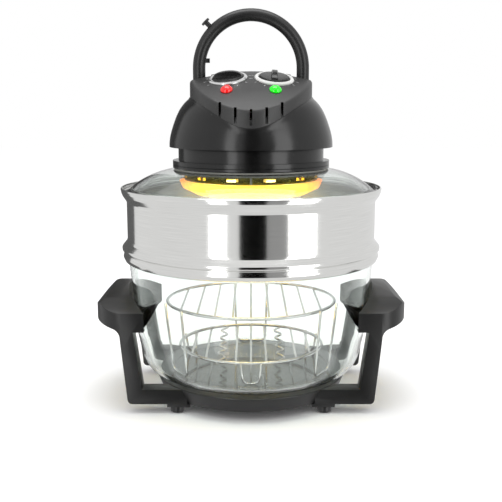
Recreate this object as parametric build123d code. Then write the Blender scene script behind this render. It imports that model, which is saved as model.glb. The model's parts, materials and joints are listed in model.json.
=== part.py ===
from build123d import *
import os
from math import asin, cos, radians, sin, sqrt

# Halogen convection oven ("air fryer") with a lift-off head, a glass lid, an extender ring
# and a glass bowl that stands in a two-handled base.  Millimetres.
# +Z is up, the control panel faces -Y, and the floor is z = 0 under the middle of the bowl.

# ---------------------------------------------------------------- driving dimensions
SHEET = 1.0                    # stainless sheet of the extender and of the heater shells
WALL = 3.0                     # moulded plastic wall
GLASS = 4.5                    # pressed glass wall

# stand
FOOT_RADIUS, FOOT_HEIGHT, FOOT_PAD = 8.5, 8.0, 2.0
FOOT_X, FOOT_Y = 88.0, 77.0
TRAY_SCREW_X, TRAY_SCREW_Y = 80.0, 66.0
TONGUE_TOP = 12.0              # top of the handle tongues, which is the tray's underside
TRAY_TOP, TRAY_RADIUS = 30.0, 119.0
TRAY_FOOT_RADIUS = 112.0
REST_PADS, REST_PAD_CIRCLE = 6, 96.0
BOWL_BOTTOM = 33.0

# side handles
HANDLE_TIP = 193.0
HANDLE_HALF_DEPTH = 86.0
COLUMN_DEPTH = 22.0
BAR_TOP = 30.0
GRIP_TOP, GRIP_ARCH = 143.0, 20.0   # the grips arch down by this much to their columns
HOLLOW_X, HOLLOW_HALF_LENGTH = (157.0, 177.0), 46.0
HOLLOW_FLOOR_Z, HOLLOW_TOP_Z = 106.5, 117.0
LINER_SCREW_X, LINER_SCREW_Y = 167.0, (-30.0, 30.0)
GRIP_CLEARANCE_RADIUS = 152.5  # the grips are hollowed to this radius round the bowl

# glass bowl
BOWL_BASE_RADIUS, BOWL_CORNER = 132.0, 34.0
BOWL_MID_RADIUS, BOWL_MID_Z = 144.5, 90.0
BOWL_TOP_RADIUS, BOWL_TOP_Z = 151.5, 174.0
BOWL_LIP_RADIUS, BOWL_RIM_Z = 154.5, 187.0

# stainless extender ring
EXT_WALL_RADIUS = 153.0
EXT_LIP_RADIUS = 160.0
EXT_BOTTOM, EXT_NECK_Z, EXT_TOP = 176.0, 199.0, 265.0

# glass lid
LID_FLANGE_RADIUS, LID_SHOULDER_RADIUS, LID_HOLE_RADIUS = 156.0, 150.0, 90.0
LID_FLANGE_Z, LID_SHOULDER_Z, LID_TOP_Z = 255.0, 262.0, 286.0

# head: collar, neck and housing
COLLAR_RADIUS, COLLAR_SEAM_Z, COLLAR_TOP_Z = 96.0, 291.4, 297.0
CLAMP_SCREW_CIRCLE, BOSS_CIRCLE = 86.5, 80.0
GLAND_RADIUS, GLAND_Z = 5.5, 305.0
SENSOR_Y = -84.6
NECK_RADIUS, HOUSING_BOTTOM_Z = 89.0, 313.0
HOUSING_RADIUS = 99.8
DOME = [(99.8, 313.0), (98.4, 327.0), (95.2, 338.0), (84.6, 361.0), (74.0, 372.0), (71.8, 373.6)]
COVER_HALF_WIDTH, COVER_HALF_DEPTH = 74.0, 96.0
PANEL_TOP_Y, PANEL_TOP_Z = 27.0, 404.3   # highest point of the domed control panel
PANEL_RADIUS = 183.0           # of the panel from front to back
PANEL_CROWN = 306.0            # of the panel from side to side, at its highest point
HUMP_HALF_WIDTH, HUMP_CENTRE_Y = 48.5, 26.0
CREASE_ROUNDING = 5.0          # where the panel turns down into the cover's wall
LEDGE_Z, LEDGE_FRONT_Y = 377.0, -5.0
WELT_WIDTH, WELT_HEIGHT = 1.4, 0.7   # raised edge of the housing round the cover
VENT_PITCH, VENT_WIDTH, FRONT_VENTS, REAR_VENTS = 17.5, 3.0, 5, 9

# carrying bail
BAIL_HALF_WIDTH, BAIL_TUBE_RADIUS = 63.0, 7.6
BAIL_PIVOT_Y, BAIL_PIVOT_Z, BAIL_SPRING_Z = 4.0, 386.0, 407.0
PIN_RADIUS, PIN_CLEARANCE = 3.0, 0.06
PEG_LOW_Z, PEG_HIGH_Z, PEG_REACH, PEG_HALF_WIDTH = 413.5, 418.7, 13.0, 2.6
PEG_FOLDED_Z = BAIL_PIVOT_Z - PEG_HALF_WIDTH
SWITCH_X = -52.8
SWITCH_Y = BAIL_PIVOT_Y + (PEG_LOW_Z + PEG_HIGH_Z) / 2 - BAIL_PIVOT_Z

# controls on the sloping panel
KNOB_X, KNOB_Y = 27.5, -30.0
LAMP_X, LAMP_Y = 28.0, -62.0
TIMER_SIZE, THERMOSTAT_SIZE = (16.0, 17.0), (13.0, 14.0)   # (height, radius)
DIAL_RADIUS, DIAL_RIM, KNOB_RADIUS, KNOB_STEM_RADIUS, LAMP_RADIUS = 23.4, 4.6, 18.0, 3.0, 7.0
BLADE_HEIGHT, BLADE_HALF_WIDTH = 6.2, 4.2

# heater and fan
DRUM_RADIUS, DRUM_BOTTOM, DRUM_TOP = 82.0, 269.0, 287.0
GUARD_RADIUS, GUARD_RIM_Z, GUARD_BOTTOM_Z = 88.0, 268.5, 250.0
LAMP_RING_RADIUS, LAMP_TUBE_RADIUS, LAMP_RING_Z = 62.0, 5.0, 260.0
SHAFT_RADIUS, SHAFT_BOTTOM, SHAFT_TOP = 3.0, 263.0, 364.0
BEARING_CLEARANCE = 0.05

# racks
RACK_RING_WIRE, RACK_BAR_WIRE = 1.9, 1.4
LOW_RACK_RADIUS, LOW_RACK_Z = 90.0, 64.0
HIGH_RACK_RADIUS, HIGH_RACK_Z = 105.0, 122.0
RACK_BARS, RACK_LEGS, LEG_LEAN = 9, 3, 0.1
BOWL_FLOOR_Z = BOWL_BOTTOM + GLASS


# ---------------------------------------------------------------- small makers
def turned(points, rounding=0.0):
    """Solid of revolution about Z from a closed outline of (radius, height) points."""
    outline = make_face(Polyline(points + points[:1]))
    if rounding:
        corners = [v for v in outline.vertices() if v.X > 1.0]
        outline = fillet(corners, rounding)
    return revolve(Plane.XZ * outline, Axis.Z)


def drum(radius, low, high):
    """Plain cylinder about Z between two heights."""
    return Pos(0, 0, low) * Cylinder(radius, high - low, align=(Align.CENTER, Align.CENTER, Align.MIN))


def tube_ring(outer, inner, low, high):
    """Plain ring about Z between two heights."""
    return drum(outer, low, high) - drum(inner, low - 1, high + 1)


def block(x, y, z):
    """Box from three (low, high) pairs."""
    size = [pair[1] - pair[0] for pair in (x, y, z)]
    middle = [(pair[1] + pair[0]) / 2 for pair in (x, y, z)]
    return Pos(*middle) * Box(*size)


def wire_along(path, radius):
    """Round wire along a path."""
    start = Plane(origin=path @ 0, z_dir=path % 0)
    return sweep(start * Circle(radius), path=path)


def around(shape, count, start=0.0):
    """Copies of a shape turned about Z, evenly spaced."""
    return [Rot(0, 0, start + 360.0 * i / count) * shape for i in range(count)]


def pan_screw(length, shank=1.6, head=3.2, head_height=2.0):
    """Pan-head screw with a cross recess.  Head down at z = 0, shank up."""
    body = drum(head, -head_height, 0) + drum(shank, -0.5, length)
    recess = Pos(0, 0, -head_height) * (Box(3.4, 0.9, 1.6) + Box(0.9, 3.4, 1.6))
    return body - recess


def mirrored(shape):
    """The same piece on the other side of the YZ plane."""
    return mirror(shape, about=Plane.YZ)


def save(node, *solids):
    """Write one node, with each of its solids separate."""
    found = [piece for shape in solids for piece in shape.solids()]
    shape = found[0] if len(found) == 1 else Compound(children=found)
    export_step(shape, "parts/" + node + ".step")
    print(node, len(found), round(sum(piece.volume for piece in found), 1))


# ---------------------------------------------------------------- stand
def four_places(x, y):
    """The same place in each quarter of the plan."""
    return [(sx * x, sy * y) for sx in (-1, 1) for sy in (-1, 1)]


def base_tray():
    """Round tray open below, with four screw bosses and a rib."""
    outer = turned([(0, TONGUE_TOP), (TRAY_FOOT_RADIUS, TONGUE_TOP), (TRAY_RADIUS - 1.5, TRAY_TOP - 4),
                    (TRAY_RADIUS, TRAY_TOP), (0, TRAY_TOP)])
    outer = fillet(outer.edges().group_by(Axis.Z)[-1], 1.2)
    hollow = turned([(0, TONGUE_TOP - 1), (TRAY_FOOT_RADIUS - WALL, TONGUE_TOP - 1),
                     (TRAY_RADIUS - 1.5 - WALL, TRAY_TOP - WALL), (0, TRAY_TOP - WALL)])
    tray = outer - hollow
    for x, y in four_places(TRAY_SCREW_X, TRAY_SCREW_Y):
        tray += Pos(x, y, 0) * drum(5.5, TONGUE_TOP, TRAY_TOP - WALL + 0.5)
        tray -= Pos(x, y, 0) * drum(1.5, TONGUE_TOP - 1, TONGUE_TOP + 12)
    tray += tube_ring(62, 59.5, TONGUE_TOP + 4, TRAY_TOP - WALL + 0.5)
    tray -= Pos(0, 0, TRAY_TOP) * tube_ring(REST_PAD_CIRCLE + 4, REST_PAD_CIRCLE - 4, -1.2, 1)
    return tray


def rest_pads():
    """Silicone blocks in the tray's groove that the glass bowl stands on."""
    length = 26.0
    pad = block((REST_PAD_CIRCLE - 3.4, REST_PAD_CIRCLE + 3.4), (-length / 2, length / 2),
                (TRAY_TOP - 1.2, BOWL_BOTTOM))
    keep = tube_ring(REST_PAD_CIRCLE + 3.8, REST_PAD_CIRCLE - 3.8, TRAY_TOP - 2, BOWL_BOTTOM + 1)
    return [copy & keep for copy in around(pad, REST_PADS, 30)]


def feet():
    """Round feet, hollow below for the pad and the screw head."""
    foot = drum(FOOT_RADIUS, 1.0, FOOT_HEIGHT) - drum(6.2, 0, FOOT_PAD)
    foot -= drum(3.6, FOOT_PAD - 1, FOOT_PAD + 2.4)
    foot -= drum(1.8, 0, FOOT_HEIGHT + 1)
    return [Pos(x, y, 0) * foot for x, y in four_places(FOOT_X, FOOT_Y)]


def foot_pads():
    pad = fillet(drum(6.1, 0, FOOT_PAD).edges().group_by(Axis.Z)[0], 0.6)
    return [Pos(x, y, 0) * pad for x, y in four_places(FOOT_X, FOOT_Y)]


def stand_screws():
    """Screws up through the feet and up through the handles' tongues into the tray."""
    screw = pan_screw(14.0, shank=1.5)
    through_feet = [Pos(x, y, FOOT_PAD + 2.2) * screw for x, y in four_places(FOOT_X, FOOT_Y)]
    into_tray = [Pos(x, y, FOOT_HEIGHT) * screw for x, y in four_places(TRAY_SCREW_X, TRAY_SCREW_Y)]
    return through_feet + into_tray


def handle_outline():
    """Front view of a side handle: grip, column and bottom bar in one outline."""
    with BuildLine() as outline:
        Polyline((126, GRIP_TOP), (146, GRIP_TOP))
        ThreePointArc((146, GRIP_TOP), (174, 136), (HANDLE_TIP - 1, 120))
        ThreePointArc((HANDLE_TIP - 1, 120), (HANDLE_TIP - 1.5, 112.5), (HANDLE_TIP - 9, 109))
        Line((HANDLE_TIP - 9, 109), (164, 104))
        ThreePointArc((164, 104), (157.2, 100), (154.5, 92))
        Line((154.5, 92), (147, TONGUE_TOP + 5))
        ThreePointArc((147, TONGUE_TOP + 5), (145.2, TONGUE_TOP + 1.5), (142, TONGUE_TOP))
        Polyline((142, TONGUE_TOP), (76, TONGUE_TOP), (76, BAR_TOP), (126, BAR_TOP), (126, GRIP_TOP))
    return make_face(outline.line)


def grip_plan():
    """View from above: the grip bows outwards from column to column."""
    depth = HANDLE_HALF_DEPTH
    bow = [(153, -depth), (171, -78), (181, -64), (188, -38), (HANDLE_TIP, 0)]
    bow += [(x, -y) for x, y in reversed(bow[:-1])]
    with BuildLine() as outline:
        Spline(*bow)
        Polyline((153, depth), (60, depth), (60, -depth), (153, -depth))
    return make_face(outline.line)


def tray_hollow():
    """Room for the tray between the handles' bars."""
    return turned([(0, 0), (TRAY_FOOT_RADIUS + 0.05, 0), (TRAY_FOOT_RADIUS + 0.05, TONGUE_TOP),
                   (TRAY_RADIUS - 1.45, TRAY_TOP - 4), (TRAY_RADIUS + 0.05, TRAY_TOP), (TRAY_RADIUS + 0.05, 60),
                   (0, 60)])


def handle_solid():
    """Right-hand handle before it is hollowed: two columns joined by the grip."""
    depth = HANDLE_HALF_DEPTH
    solid = extrude(Plane.XZ * handle_outline(), amount=depth, both=True)
    solid &= extrude(grip_plan(), amount=200)
    arch_radius = (depth ** 2 + GRIP_ARCH ** 2) / (2 * GRIP_ARCH)
    solid &= Pos(0, 0, GRIP_TOP - arch_radius) * Rot(0, 90, 0) * Cylinder(arch_radius, 420)
    solid -= drum(GRIP_CLEARANCE_RADIUS, 98, 160)
    inside_face = Plane.XZ * make_face(Polyline((70, BAR_TOP), (129.5, BAR_TOP), (139, 100), (70, 100),
                                                (70, BAR_TOP)))
    solid -= extrude(inside_face, amount=depth + 1, both=True)
    between = depth - COLUMN_DEPTH
    solid -= block((70, 175), (-between, between), (0, 100))
    return solid - tray_hollow()


def grip_hollow():
    """Space under the grip that the inner liner closes."""
    return block(HOLLOW_X, (-HOLLOW_HALF_LENGTH, HOLLOW_HALF_LENGTH), (HOLLOW_FLOOR_Z - 10, HOLLOW_TOP_Z))


def side_handle():
    handle = handle_solid() - grip_hollow()
    for y in LINER_SCREW_Y:
        handle -= Pos(LINER_SCREW_X, y, 0) * drum(1.5, HOLLOW_TOP_Z - 1, 121)
    for side in (-1, 1):
        edges = sorted((side * (HANDLE_HALF_DEPTH - COLUMN_DEPTH - 6), side * (HANDLE_HALF_DEPTH - 0.5)))
        handle += block((72, 100), edges, (FOOT_HEIGHT, TONGUE_TOP))
        handle -= Pos(TRAY_SCREW_X, side * TRAY_SCREW_Y, 0) * drum(1.8, 0, 20)
        handle -= Pos(FOOT_X, side * FOOT_Y, 0) * drum(1.5, 0, 20)
    return handle


def handle_liner():
    """Cover that closes the hollow grip from below, held by two screws."""
    half = HOLLOW_HALF_LENGTH - 0.05
    side = (HOLLOW_X[0] + 0.05, HOLLOW_X[1] - 0.05)
    liner = block(side, (-half, half), (HOLLOW_FLOOR_Z, HOLLOW_FLOOR_Z + 2.5))
    for y in LINER_SCREW_Y:
        liner += Pos(LINER_SCREW_X, y, 0) * drum(4, HOLLOW_FLOOR_Z + 1.5, HOLLOW_TOP_Z)
        liner -= Pos(LINER_SCREW_X, y, 0) * drum(1.6, HOLLOW_FLOOR_Z - 1, HOLLOW_TOP_Z + 0.5)
    return liner


def liner_screws():
    screw = Pos(0, 0, HOLLOW_FLOOR_Z) * pan_screw(12.0, shank=1.5)
    return [Pos(LINER_SCREW_X, y, 0) * screw for y in LINER_SCREW_Y]


# ---------------------------------------------------------------- bowl, extender, lid glass
def glass_bowl():
    """Pressed glass bowl with a thick rolled lip."""
    outer = [(0, BOWL_BOTTOM), (BOWL_BASE_RADIUS, BOWL_BOTTOM), (BOWL_MID_RADIUS, BOWL_MID_Z),
             (BOWL_TOP_RADIUS, BOWL_TOP_Z), (BOWL_LIP_RADIUS, BOWL_TOP_Z + 6), (BOWL_LIP_RADIUS, BOWL_RIM_Z)]
    inner = [(BOWL_TOP_RADIUS - GLASS, BOWL_RIM_Z), (BOWL_TOP_RADIUS - GLASS, BOWL_TOP_Z),
             (BOWL_MID_RADIUS - GLASS, BOWL_MID_Z), (BOWL_BASE_RADIUS - GLASS, BOWL_FLOOR_Z),
             (0, BOWL_FLOOR_Z)]
    outline = make_face(Polyline(outer + inner + outer[:1]))
    corner = outline.vertices().filter_by(lambda v: abs(v.X - BOWL_BASE_RADIUS) < 0.1)
    outline = fillet(corner, BOWL_CORNER)
    corner = outline.vertices().filter_by(lambda v: abs(v.X - BOWL_BASE_RADIUS + GLASS) < 0.1)
    outline = fillet(corner, BOWL_CORNER - GLASS)
    lip = outline.vertices().filter_by(lambda v: v.Y > BOWL_RIM_Z - 0.1)
    outline = fillet(lip, 1.8)
    return revolve(Plane.XZ * outline, Axis.Z)


def extender_ring():
    """Spun stainless ring: two beads over the bowl's lip, a plain wall and a flared rim."""
    wall, lip = EXT_WALL_RADIUS, EXT_LIP_RADIUS
    seat = BOWL_RIM_Z + 0.1
    outside = [(156.3, EXT_BOTTOM), (158.6, EXT_BOTTOM + 5), (156.6, EXT_BOTTOM + 10.5),
               (lip - 0.5, EXT_BOTTOM + 13), (lip - 0.2, EXT_NECK_Z - 7), (wall + 1, EXT_NECK_Z),
               (wall, EXT_NECK_Z + 2), (wall, EXT_TOP - 17.5), (wall + 0.6, EXT_TOP - 16),
               (wall + 2.4, EXT_TOP - 13.4), (lip - 2.2, EXT_TOP - 9.8), (lip - 0.6, EXT_TOP - 5.5),
               (lip, EXT_TOP - 2.2), (lip - 0.3, EXT_TOP - 0.7), (lip - 1.1, EXT_TOP)]
    inside = [(lip - 2.0, EXT_TOP - 0.4), (lip - 1.3, EXT_TOP - 2.0), (lip - 1.7, EXT_TOP - 5.1),
              (lip - 3.3, EXT_TOP - 9.3), (wall + 1.3, EXT_TOP - 12.6), (wall - SHEET, EXT_TOP - 16),
              (wall - SHEET, EXT_NECK_Z), (150.5, seat + 1.2), (150.5, seat),
              (155.3, seat), (155.3, EXT_BOTTOM)]
    return turned(outside + inside)


def lid_glass():
    """Domed glass ring between the extender's rim and the head's collar."""
    with BuildLine() as outline:
        Polyline((LID_HOLE_RADIUS, LID_TOP_Z - GLASS), (LID_HOLE_RADIUS, LID_TOP_Z), (COLLAR_RADIUS, LID_TOP_Z))
        ThreePointArc((COLLAR_RADIUS, LID_TOP_Z), (128, 276.5), (LID_SHOULDER_RADIUS, LID_SHOULDER_Z))
        Polyline((LID_SHOULDER_RADIUS, LID_SHOULDER_Z), (LID_FLANGE_RADIUS, LID_SHOULDER_Z - 1.5),
                 (LID_FLANGE_RADIUS, LID_FLANGE_Z), (LID_SHOULDER_RADIUS - 4, LID_FLANGE_Z))
        ThreePointArc((LID_SHOULDER_RADIUS - 4, LID_FLANGE_Z), (124, 272.3), (COLLAR_RADIUS, LID_TOP_Z - GLASS))
        Line((COLLAR_RADIUS, LID_TOP_Z - GLASS), (LID_HOLE_RADIUS, LID_TOP_Z - GLASS))
    return revolve(Plane.XZ * make_face(outline.line), Axis.Z)


# ---------------------------------------------------------------- head shells
def sensor_way():
    """Hole that the thermostat's sensing bulb hangs through."""
    return Pos(0, SENSOR_Y, 0) * drum(2.0, 270, 303)


def collar_ring():
    """Lower half of the head's flange, seated on the lid glass by a gasket."""
    ring = tube_ring(COLLAR_RADIUS, 76, LID_TOP_Z + 1.5, COLLAR_SEAM_Z)
    ring = chamfer(ring.edges().filter_by(GeomType.CIRCLE).group_by(Axis.Z)[0].sort_by(SortBy.LENGTH)[-1], 0.8)
    for hole in around(Pos(CLAMP_SCREW_CIRCLE, 0, 0) * drum(1.6, 280, 300), 6, 15):
        ring -= hole
    return ring - sensor_way()


def lid_gasket():
    return tube_ring(COLLAR_RADIUS - 1.5, LID_HOLE_RADIUS + 0.5, LID_TOP_Z, LID_TOP_Z + 1.5)


def clamp_ring():
    """Steel ring that clamps the glass up against the collar."""
    ring = tube_ring(95, 83.5, LID_TOP_Z - GLASS - 2.0, LID_TOP_Z - GLASS)
    for hole in around(Pos(CLAMP_SCREW_CIRCLE, 0, 0) * drum(1.7, 270, 290), 6, 15):
        ring -= hole
    return ring - sensor_way()


def clamp_screws():
    screw = Pos(CLAMP_SCREW_CIRCLE, 0, LID_TOP_Z - GLASS - 2.0) * pan_screw(11.5, shank=1.55, head=2.8)
    return around(screw, 6, 15)


def neck_ring():
    """Upper half of the flange and the neck under the housing."""
    ring = tube_ring(NECK_RADIUS, NECK_RADIUS - WALL, COLLAR_SEAM_Z, HOUSING_BOTTOM_Z)
    ring += tube_ring(COLLAR_RADIUS, NECK_RADIUS - WALL - 1, COLLAR_SEAM_Z + 0.4, COLLAR_TOP_Z)
    ring += tube_ring(NECK_RADIUS - WALL + 0.5, 76, COLLAR_SEAM_Z + 3, COLLAR_TOP_Z)
    for boss in around(Pos(BOSS_CIRCLE, 0, 0) * drum(5, COLLAR_SEAM_Z + 3, HOUSING_BOTTOM_Z), 4, 45):
        ring += boss
    for hole in around(Pos(BOSS_CIRCLE, 0, 0) * drum(1.7, 280, 330), 4, 45):
        ring -= hole
    ring -= Pos(0, NECK_RADIUS, GLAND_Z) * Rot(90, 0, 0) * Cylinder(GLAND_RADIUS, 20)
    return ring - sensor_way()


def ellipse_prism(inset, low, high):
    face = Ellipse(COVER_HALF_WIDTH - inset, COVER_HALF_DEPTH - inset)
    return Pos(0, 0, low) * extrude(face, amount=high - low)


def dome_section(inset):
    """Half outline of the dome, inset along its normals."""
    offsets = []
    for i, (radius, height) in enumerate(DOME):
        before, after = DOME[max(i - 1, 0)], DOME[min(i + 1, len(DOME) - 1)]
        run, rise = after[0] - before[0], after[1] - before[1]
        length = sqrt(run * run + rise * rise)
        offsets.append((radius - inset * rise / length, height + inset * run / length))
    return offsets


def dome(inset):
    """Housing dome of revolution, flared towards its foot."""
    side = dome_section(inset)
    bottom = HOUSING_BOTTOM_Z + inset
    with BuildLine() as outline:
        Polyline((0, side[-1][1]), (0, bottom), (side[0][0], bottom))
        if inset:
            Line((side[0][0], bottom), (side[0][0], bottom + 1))
        Spline((side[0][0], bottom + (1 if inset else 0)), *side[1:])
        Line(side[-1], (0, side[-1][1]))
    return revolve(Plane.XZ * make_face(outline.line), Axis.Z)


def lower_housing():
    """Flared shell that the control cover stands on, with air slots at the back."""
    shell = dome(0) - dome(WALL)
    welt = ellipse_prism(-WELT_WIDTH, 320, 376) & dome(-WELT_HEIGHT)
    shell += welt - ellipse_prism(-0.12, 310, 400) - dome(0.5)
    shell -= ellipse_prism(WALL + 1, 320, 400)
    shell -= drum(76, 300, HOUSING_BOTTOM_Z + WALL + 1)
    for boss in around(Pos(BOSS_CIRCLE, 0, 0) * drum(5, HOUSING_BOTTOM_Z, 330), 4, 45):
        shell += boss
    for hole in around(Pos(BOSS_CIRCLE, 0, 0) * drum(1.5, 300, 327), 4, 45):
        shell -= hole
    first = -(REAR_VENTS - 1) / 2
    for i in range(REAR_VENTS):
        shell -= Rot(0, 0, (first + i) * 6.0) * block((-1.8, 1.8), (60, 130), (318, 331))
    return shell


def panel_height(y):
    """Height of the panel's middle line."""
    return PANEL_TOP_Z - PANEL_RADIUS + sqrt(PANEL_RADIUS ** 2 - (y - PANEL_TOP_Y) ** 2)


def panel_frame(x, y):
    """Plane that touches the domed panel at a place seen from above."""
    axis_z = PANEL_TOP_Z - PANEL_CROWN
    lean = asin(x / (panel_height(y) - axis_z))
    slope = asin((PANEL_TOP_Y - y) / PANEL_RADIUS)
    reach = panel_height(y) - axis_z
    origin = Vector(reach * sin(lean), y, axis_z + reach * cos(lean))
    normal = Vector(cos(slope) * sin(lean), -sin(slope), cos(slope) * cos(lean))
    return Plane(origin=origin, x_dir=(cos(lean), 0, -sin(lean)), z_dir=normal)


def hump_prism(inset):
    """Footprint of the raised middle of the cover, round at the back."""
    half = HUMP_HALF_WIDTH - inset
    plan = Pos(0, (HUMP_CENTRE_Y - 100) / 2) * Rectangle(2 * half, 100 + HUMP_CENTRE_Y)
    plan += Pos(0, HUMP_CENTRE_Y) * Circle(half)
    return Pos(0, 0, 330) * extrude(plan, amount=100)


def panel_form(inset):
    """Everything below the domed panel: its front-to-back arc turned about a low axis along Y."""
    axis_z = PANEL_TOP_Z - PANEL_CROWN
    radius = PANEL_RADIUS - inset
    centre_z = PANEL_TOP_Z - PANEL_RADIUS
    front, back = PANEL_TOP_Y - 150, PANEL_TOP_Y + 100
    edge = [(y, centre_z + sqrt(radius ** 2 - (y - PANEL_TOP_Y) ** 2)) for y in (front, PANEL_TOP_Y, back)]
    with BuildLine() as outline:
        ThreePointArc(*edge)
        Polyline(edge[2], (back, axis_z), (front, axis_z), edge[0])
    side = Plane.YZ * make_face(outline.line)
    return revolve(side, Axis((0, 0, axis_z), (0, 1, 0)))


def cover_form(inset):
    form = ellipse_prism(inset, 325, 420) & panel_form(inset)
    crease = [edge for edge in form.edges() if edge.bounding_box().min.Z > 326]
    form = fillet(crease, CREASE_ROUNDING - inset / 2)
    beside = block((-90, 90), (LEDGE_FRONT_Y - inset, 110), (LEDGE_Z - inset, 430))
    return form - (beside - hump_prism(inset))


def top_cover():
    """Control cover that stands in the dome, with air slots, knob bores and lamp holes."""
    shell = cover_form(0) - cover_form(WALL) - dome(-0.05)
    first = -(FRONT_VENTS - 1) / 2
    for i in range(FRONT_VENTS):
        x = (first + i) * VENT_PITCH
        front = -COVER_HALF_DEPTH * sqrt(1 - (x / COVER_HALF_WIDTH) ** 2)
        crease = panel_height(front) - x ** 2 / (2 * PANEL_CROWN)
        seam = 338.6 + x ** 2 * 0.0065
        shell -= block((x - VENT_WIDTH / 2, x + VENT_WIDTH / 2), (-120, front + 12), (seam + 2.0, crease + 2.0))
    for side in (-1, 1):
        shell -= panel_frame(side * KNOB_X, KNOB_Y) * Cylinder(KNOB_STEM_RADIUS + 2.5, 20)
        shell -= panel_frame(side * LAMP_X, LAMP_Y) * Cylinder(5.6, 20)
    shell -= Pos(SWITCH_X, SWITCH_Y, 0) * drum(2.2, 360, 390)
    pin = Pos(0, BAIL_PIVOT_Y, BAIL_PIVOT_Z) * Rot(0, 90, 0) * Cylinder(PIN_RADIUS, 160)
    return shell - pin


def housing_screws():
    screw = Pos(BOSS_CIRCLE, 0, COLLAR_SEAM_Z + 3) * pan_screw(30, shank=1.5)
    return around(screw, 4, 45)


# ---------------------------------------------------------------- controls
def dial_ring(side):
    """Bright ring fixed round a knob."""
    inner = DIAL_RADIUS - DIAL_RIM
    outline = make_face(Polyline((DIAL_RADIUS, -4), (DIAL_RADIUS, 0.3), (DIAL_RADIUS - 1.2, 1.8),
                                 (inner + 1.0, 1.8), (inner, 0.8), (inner, -4), (DIAL_RADIUS, -4)))
    ring = revolve(Plane.XZ * outline, Axis.Z)
    return panel_frame(side * KNOB_X, KNOB_Y) * ring - panel_form(-0.05)


def knob(side, turn):
    """Round knob with a half-disc finger blade and a stem down to its shaft."""
    disc = Pos(0, 0, 0.5) * Cylinder(KNOB_RADIUS, 2.7, align=(Align.CENTER, Align.CENTER, Align.MIN))
    disc = chamfer(disc.edges().group_by(Axis.Z)[-1], 0.9)
    half_disc = Ellipse(KNOB_RADIUS - 1.5, BLADE_HEIGHT) & Pos(0, 15) * Rectangle(60, 30)
    blade = extrude(Plane.XZ * Pos(0, 2.8) * half_disc, amount=BLADE_HALF_WIDTH, both=True)
    foot, top = BLADE_HALF_WIDTH, BLADE_HALF_WIDTH - 1.8
    flanks = make_face(Polyline((-foot, 2.5), (foot, 2.5), (top, 9.5), (-top, 9.5), (-foot, 2.5)))
    blade &= extrude(Plane.YZ * flanks, amount=KNOB_RADIUS, both=True)
    stem = Pos(0, 0, -14) * Cylinder(KNOB_STEM_RADIUS, 15, align=(Align.CENTER, Align.CENTER, Align.MIN))
    return panel_frame(side * KNOB_X, KNOB_Y) * Rot(0, 0, turn) * (disc + blade + stem)


def control_unit(side, height, radius):
    """Clockwork timer or thermostat under the panel, with a bushing round the knob's stem."""
    top = -WALL - 1.2
    body = Pos(0, 0, top - height) * Cylinder(radius, height, align=(Align.CENTER, Align.CENTER, Align.MIN))
    bore = Pos(0, 0, top - 12) * Cylinder(KNOB_STEM_RADIUS + 0.06, 20, align=(Align.CENTER, Align.CENTER, Align.MIN))
    plate = Pos(0, 0, top - 1) * Box(34, 12, 2)
    return panel_frame(side * KNOB_X, KNOB_Y) * (body + plate - bore)


def indicator_lamp(side):
    """Domed lens with a short barrel through the panel."""
    outline = make_face(Polyline((0, 0.1), (LAMP_RADIUS, 0.1), (LAMP_RADIUS, 1.4), (0, 1.4), (0, 0.1)))
    rim = revolve(Plane.XZ * outline, Axis.Z)
    cap_radius = (LAMP_RADIUS ** 2 + 4.2 ** 2) / (2 * 4.2)
    dome = Pos(0, 0, 5.6 - cap_radius) * Sphere(cap_radius)
    dome &= Pos(0, 0, 1.2) * Cylinder(LAMP_RADIUS, 10, align=(Align.CENTER, Align.CENTER, Align.MIN))
    barrel = Pos(0, 0, -9) * Cylinder(5.3, 9.5, align=(Align.CENTER, Align.CENTER, Align.MIN))
    return panel_frame(side * LAMP_X, LAMP_Y) * (rim + dome + barrel)


# ---------------------------------------------------------------- bail
def bail_tube():
    """Round arch whose two legs end in eyes on the pivot pins."""
    legs = [(side * BAIL_HALF_WIDTH, BAIL_PIVOT_Y, BAIL_PIVOT_Z) for side in (-1, 1)]
    springs = [(x, y, BAIL_SPRING_Z) for x, y, _ in legs]
    crown = (0, BAIL_PIVOT_Y, BAIL_SPRING_Z + BAIL_HALF_WIDTH)
    with BuildLine() as path:
        Line(legs[0], springs[0])
        ThreePointArc(springs[0], crown, springs[1])
        Line(springs[1], legs[1])
    tube = wire_along(path.wire(), BAIL_TUBE_RADIUS)
    for place in legs:
        tube += Pos(*place) * Sphere(BAIL_TUBE_RADIUS)
    bore = Pos(0, BAIL_PIVOT_Y, BAIL_PIVOT_Z) * Rot(0, 90, 0) * Cylinder(PIN_RADIUS + PIN_CLEARANCE, 200)
    cap = Pos(0, BAIL_PIVOT_Y, BAIL_PIVOT_Z) * Rot(0, 90, 0) * Cylinder(10, 2 * (BAIL_HALF_WIDTH + 4))
    return tube - (bore & cap)


def bail_pins():
    """Pins fixed in the cover that the bail swings on."""
    pin = Rot(0, 90, 0) * Cylinder(PIN_RADIUS, 23.5, align=(Align.CENTER, Align.CENTER, Align.MIN))
    place = Pos(42.5, BAIL_PIVOT_Y, BAIL_PIVOT_Z) * pin
    return [place, mirrored(place)]


def bail_stud():
    """T-shaped rest stud on the bail's shoulder."""
    lean = 45.0
    stud = Pos(0, 0, BAIL_TUBE_RADIUS - 1) * Cylinder(2.9, 8, align=(Align.CENTER, Align.CENTER, Align.MIN))
    stud += Pos(0, 0, BAIL_TUBE_RADIUS + 5.6) * Cylinder(5.4, 2.4, align=(Align.CENTER, Align.CENTER, Align.MIN))
    x = -BAIL_HALF_WIDTH * sin(radians(lean))
    z = BAIL_SPRING_Z + BAIL_HALF_WIDTH * cos(radians(lean))
    return Pos(x, BAIL_PIVOT_Y, z) * Rot(0, -lean, 0) * stud - bail_tube()


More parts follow.
